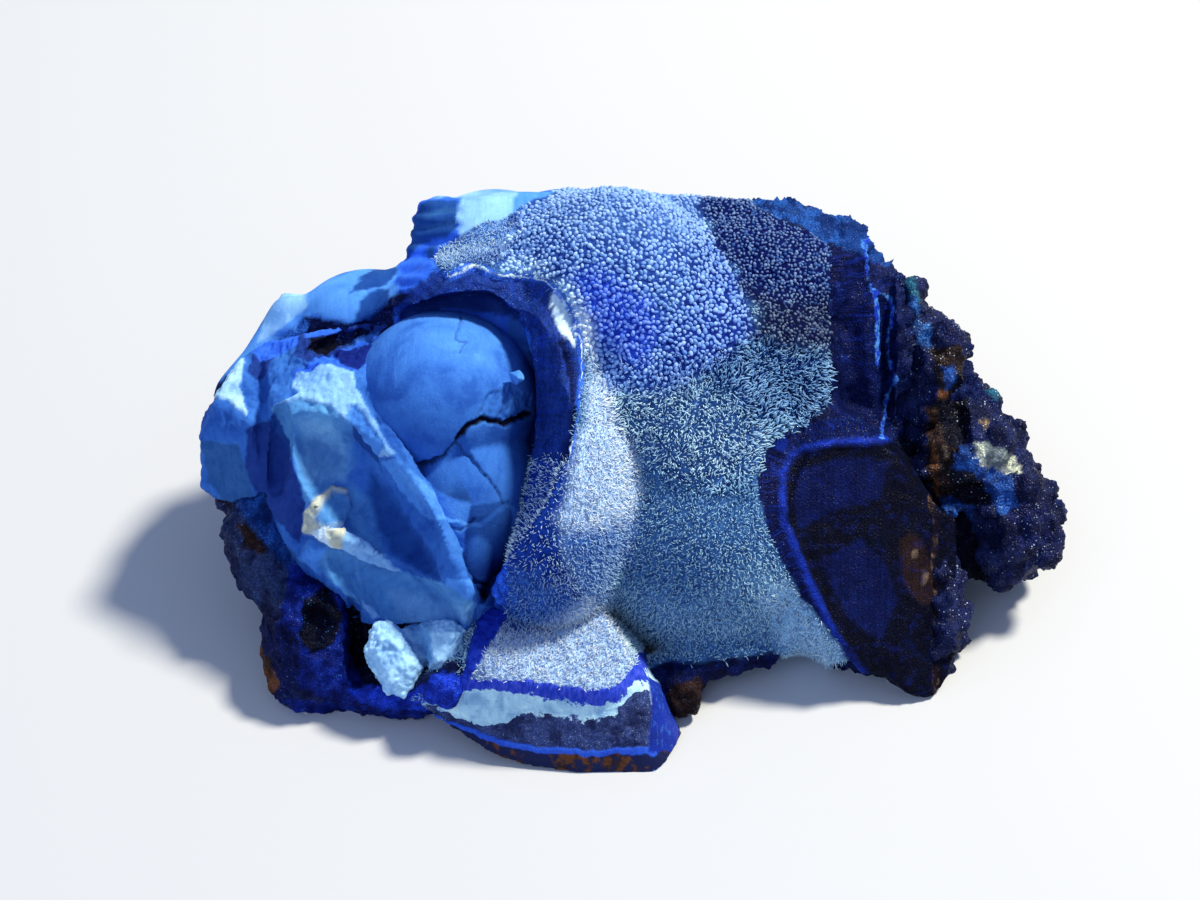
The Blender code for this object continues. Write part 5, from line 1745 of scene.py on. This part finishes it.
finishes = {                         # bump relief in metres, its strength, and the shine
    "rock": {"relief": 0.00012, "bump": 0.7, "shine": 0.05},
    "chalk": {"relief": 0.0001, "bump": 0.8, "shine": 0.08},
    "shelf": {"relief": 0.0001, "bump": 0.7, "shine": 0.12},
    "matrix": {"relief": 0.00016, "bump": 0.8, "shine": 0.12},
    "grains": {"relief": 0.00003, "bump": 0.5, "shine": 0.12},
}

chalkGroup = makeChalkGroup()
drusyGroup = makeDrusyGroup()
fibreGroup = makeFibreGroup()
stainGroup = makeStainGroup()


def makeRockMaterial():
    material, tree, shader, place = startMaterial("azuriteRock")
    shade = field(tree, "shade", "Color")
    # the crust's chalk-blue glints are painted highlights
    crust = useGroup(tree, drusyGroup, {
        "Vector": place, "Color": shade, "PaintedGlint": palette["chalkBlue"], "Scale": 5200.0,
        "Glitter": 0.6})
    colour = useGroup(tree, stainGroup, {"Vector": place, "Color": crust["Color"],
                                         "Amount": 0.30})["Color"]
    roughness, height = crust["Roughness"], crust["Height"]

    # broken faces with growth layers and a glittering skin
    fibres = useGroup(tree, fibreGroup, {"Spot": field(tree, "layerSpot", "Vector"),
                                         "Color": shade, "Bright": palette["royal"],
                                         "Amount": field(tree, "glitter")})
    # painted highlights: ice-coloured glints on the broken faces' skin, as many as the glitter
    # field asks
    glitter = useGroup(tree, drusyGroup, {
        "Vector": place, "Color": shade, "PaintedGlint": palette["ice"], "Scale": 7000.0,
        "Glitter": field(tree, "glitter")})
    layered = field(tree, "layered")
    shell = mixColours(tree, 0.40, fibres["Color"], glitter["Color"])
    colour = mixColours(tree, layered, colour, shell)

    # smooth tops and chalk in the rim
    chalk = useGroup(tree, chalkGroup, {"Vector": place, "Color": shade, "Blotch": 190.0})
    smooth = field(tree, "smooth")
    colour = mixColours(tree, smooth, colour, chalk["Color"])
    roughness = mixNumbers(tree, smooth, roughness, chalk["Roughness"])
    height = mixNumbers(tree, smooth, height, times(tree, chalk["Height"], 0.4))

    # ground between the velvet's grains
    velvet = field(tree, "velvet")
    fleck = noiseNode(tree, place, 1500.0, 3.0, 0.55)
    foot = field(tree, "footColour", "Color")
    darkFoot = tinted(tree, foot, (0.42, 0.46, 0.60))
    ground = mixColours(tree, stretch(tree, fleck, 0.36, 0.56), darkFoot, foot)
    colour = mixColours(tree, velvet, colour, ground)
    roughness = mixNumbers(tree, velvet, roughness, 0.85)

    # lines: the rim's bright edge, the nodule's inner line, the wavy pair, the brown vein
    pastLip = field(tree, "pastLip")
    uneven = stretch(tree, noiseNode(tree, place, 600.0, 3.0, 0.6), 0.30, 0.70, 0.15, 0.85)
    lipLine = band(tree, pastLip, -0.26, 0.26, 0.16)
    colour = mixColours(tree, times(tree, lipLine, uneven), colour,
                        palette["bright"])
    pale = times(tree, band(tree, pastLip, -0.04, 0.06, 0.05),
                    stretch(tree, noiseNode(tree, place, 420.0, 2.0), 0.46, 0.56))
    colour = mixColours(tree, pale, colour, palette["frost"])
    colour = mixColours(tree, field(tree, "groove"), colour, palette["navy"])
    pastNode = field(tree, "pastNode")
    nodeLine = band(tree, pastNode, -0.50, 0.10, 0.34)
    colour = mixColours(tree, times(tree, nodeLine, uneven), colour,
                        palette["royal"])
    fromWavy = mathNode(tree, "ADD", field(tree, "pastWavy"),
                        times(tree, mathNode(tree, "SUBTRACT", 0.5, uneven), 0.3))
    wavy = stretch(tree, fromWavy, 0.24, 0.06)
    line = mixColours(tree, stretch(tree, fleck, 0.42, 0.6), palette["royal"], palette["chalkBlue"])
    colour = mixColours(tree, times(tree, wavy, 0.85), colour, line)
    brown = stretch(tree, field(tree, "pastBrown"), 0.42, 0.12)
    vein = mixColours(tree, stretch(tree, fleck, 0.52, 0.66), palette["umber"], palette["tan"])
    colour = mixColours(tree, times(tree, brown, uneven), colour, vein)
    finishShader(tree, shader, finishes["rock"], colour, roughness, height)
    return material


def makeChalkMaterial(name, blotch, cracked=False):
    material, tree, shader, place = startMaterial(name)
    chalk = useGroup(tree, chalkGroup, {"Vector": place, "Blotch": blotch,
                                        "Color": field(tree, "shade", "Color")})
    colour = chalk["Color"]
    # the carved cracks are also painted near black: painted shade inside them
    if cracked:
        colour = mixColours(tree, field(tree, "crack"), colour, palette["night"])
    finishShader(tree, shader, finishes["chalk"], colour, chalk["Roughness"], chalk["Height"])
    return material


def makeShelfMaterial():
    material, tree, shader, place = startMaterial("shelfLayers")
    across = field(tree, "acrossShelf")
    wobble = mathNode(tree, "SUBTRACT", noiseNode(tree, place, 1300.0, 4.0, 0.7), 0.5)
    jagged = mathNode(tree, "ADD", across, times(tree, wobble, 0.42))
    streaks = noiseNode(tree, scaledPlace(tree, place, (1.0, 0.3, 0.3)), 4200.0, 2.0)
    deep = mixColours(tree, stretch(tree, streaks, 0.36, 0.70), palette["royal"],
                      palette["violetBlue"])
    chalk = useGroup(tree, chalkGroup, {"Vector": place, "Color": srgb(190, 234, 255),
                                        "Blotch": 500.0})
    # the dark layer's sparkle is painted: frost-coloured glint highlights
    dark = useGroup(tree, drusyGroup, {"Vector": place, "Color": srgb(58, 74, 130),
                                       "PaintedGlint": palette["frost"], "Scale": 9500.0,
                                       "Glitter": 0.9})
    under = useGroup(tree, stainGroup, {"Vector": place, "Color": palette["crust"],
                                        "Amount": 0.90})
    deepEnd, paleEnd, darkEnd = shelfDetail["bands"]
    foot = field(tree, "footColour", "Color")
    darkFoot = tinted(tree, foot, (0.35, 0.42, 0.62))
    foot = mixColours(tree, stretch(tree, noiseNode(tree, place, 1500.0, 4.0, 0.65), 0.38, 0.58),
                      darkFoot, foot)
    colour = mixColours(tree, stretch(tree, across, 0.0, 0.03), foot, deep)
    colour = mixColours(tree, stretch(tree, jagged, deepEnd, deepEnd + 0.04), colour,
                        chalk["Color"])
    colour = mixColours(tree, stretch(tree, jagged, paleEnd, paleEnd + 0.04), colour,
                        dark["Color"])
    bright = mixColours(tree, streaks, palette["royal"], palette["bright"])
    colour = mixColours(tree, stretch(tree, across, darkEnd, darkEnd + 0.03), colour, bright)
    end = mixColours(tree, noiseNode(tree, place, 600.0, 4.0), palette["deepBlue"],
                     palette["royal"])
    end = mixColours(tree, stretch(tree, streaks, 0.54, 0.70, 0.0, 0.3), end,
                     palette["chalkBlue"])
    colour = mixColours(tree, field(tree, "rightEnd"), colour, end)
    colour = mixColours(tree, stretch(tree, across, 0.98, 1.01), colour, under["Color"])
    sparkle = band(tree, jagged, paleEnd, darkEnd, 0.03)
    roughness = mixNumbers(tree, sparkle, 0.75, dark["Roughness"])
    finishShader(tree, shader, finishes["shelf"], colour, roughness, dark["Height"])
    return material


def makeMatrixMaterial():
    material, tree, shader, place = startMaterial("matrixCrust")
    # the crust's sparkle is painted: frost-coloured glint highlights
    drusy = useGroup(tree, drusyGroup, {
        "Vector": place, "Color": field(tree, "shade", "Color"), "PaintedGlint": palette["frost"],
        "Scale": 4600.0, "Glitter": 0.8})
    stained = useGroup(tree, stainGroup, {"Vector": place, "Color": drusy["Color"],
                                          "Amount": 0.40})
    finishShader(tree, shader, finishes["matrix"], stained["Color"], drusy["Roughness"],
                 drusy["Height"])
    return material


def makeGrainMaterial():
    # each grain takes the colours of the ground it stands on
    material, tree, shader, place = startMaterial("velvetGrains")
    tip = field(tree, "tipColour", "Color")
    dull = tinted(tree, tip, (0.62, 0.70, 0.82))
    bright = mixColours(tree, 0.22, tip, palette["frost"])
    top = mixColours(tree, field(tree, "grainTint"), dull, bright)
    fleck = noiseNode(tree, place, 1000.0, 4.0, 0.7)
    top = mixColours(tree, times(tree, stretch(tree, fleck, 0.56, 0.68), 0.55),
                     top, palette["denim"])
    body = mixColours(tree, stretch(tree, field(tree, "tip"), 0.10, 0.60),
                      field(tree, "footColour", "Color"), top)
    finishShader(tree, shader, finishes["grains"], body, 0.65,
                 noiseNode(tree, place, 6000.0, 2.0))
    return material


# Put together

def scatterVelvet():
    bead, blade, needle = makeBead(), makeBlade(), makeNeedle(0.46, 0.13)
    made = []
    for kind, ground, grain in (("velvetBeads", rock, bead), ("slopeBeads", rock, bead),
                                ("velvetBlades", rock, blade), ("velvetFelt", rock, needle),
                                ("shelfFelt", shelf, needle)):
        made.append(scatter(ground, grain, kind, grainKinds[kind]))
    for grain in (bead, blade, needle):
        bpy.data.objects.remove(grain, do_unlink=True)
    return made


shelf = makeShelf()
grainMaterial = makeGrainMaterial()
for grains in scatterVelvet():
    standUp(grains, grainMaterial)
standUp(rock, makeRockMaterial())
standUp(shelf, makeShelfMaterial())
standUp(makeChalkEnd(), makeChalkMaterial("brokenChalk", 230.0))
standUp(makeDomes(), makeChalkMaterial("smoothChalk", 210.0, cracked=True))
standUp(makeChalkLumps(), makeChalkMaterial("grainyChalk", 600.0))
standUp(makeMatrix(), makeMatrixMaterial())
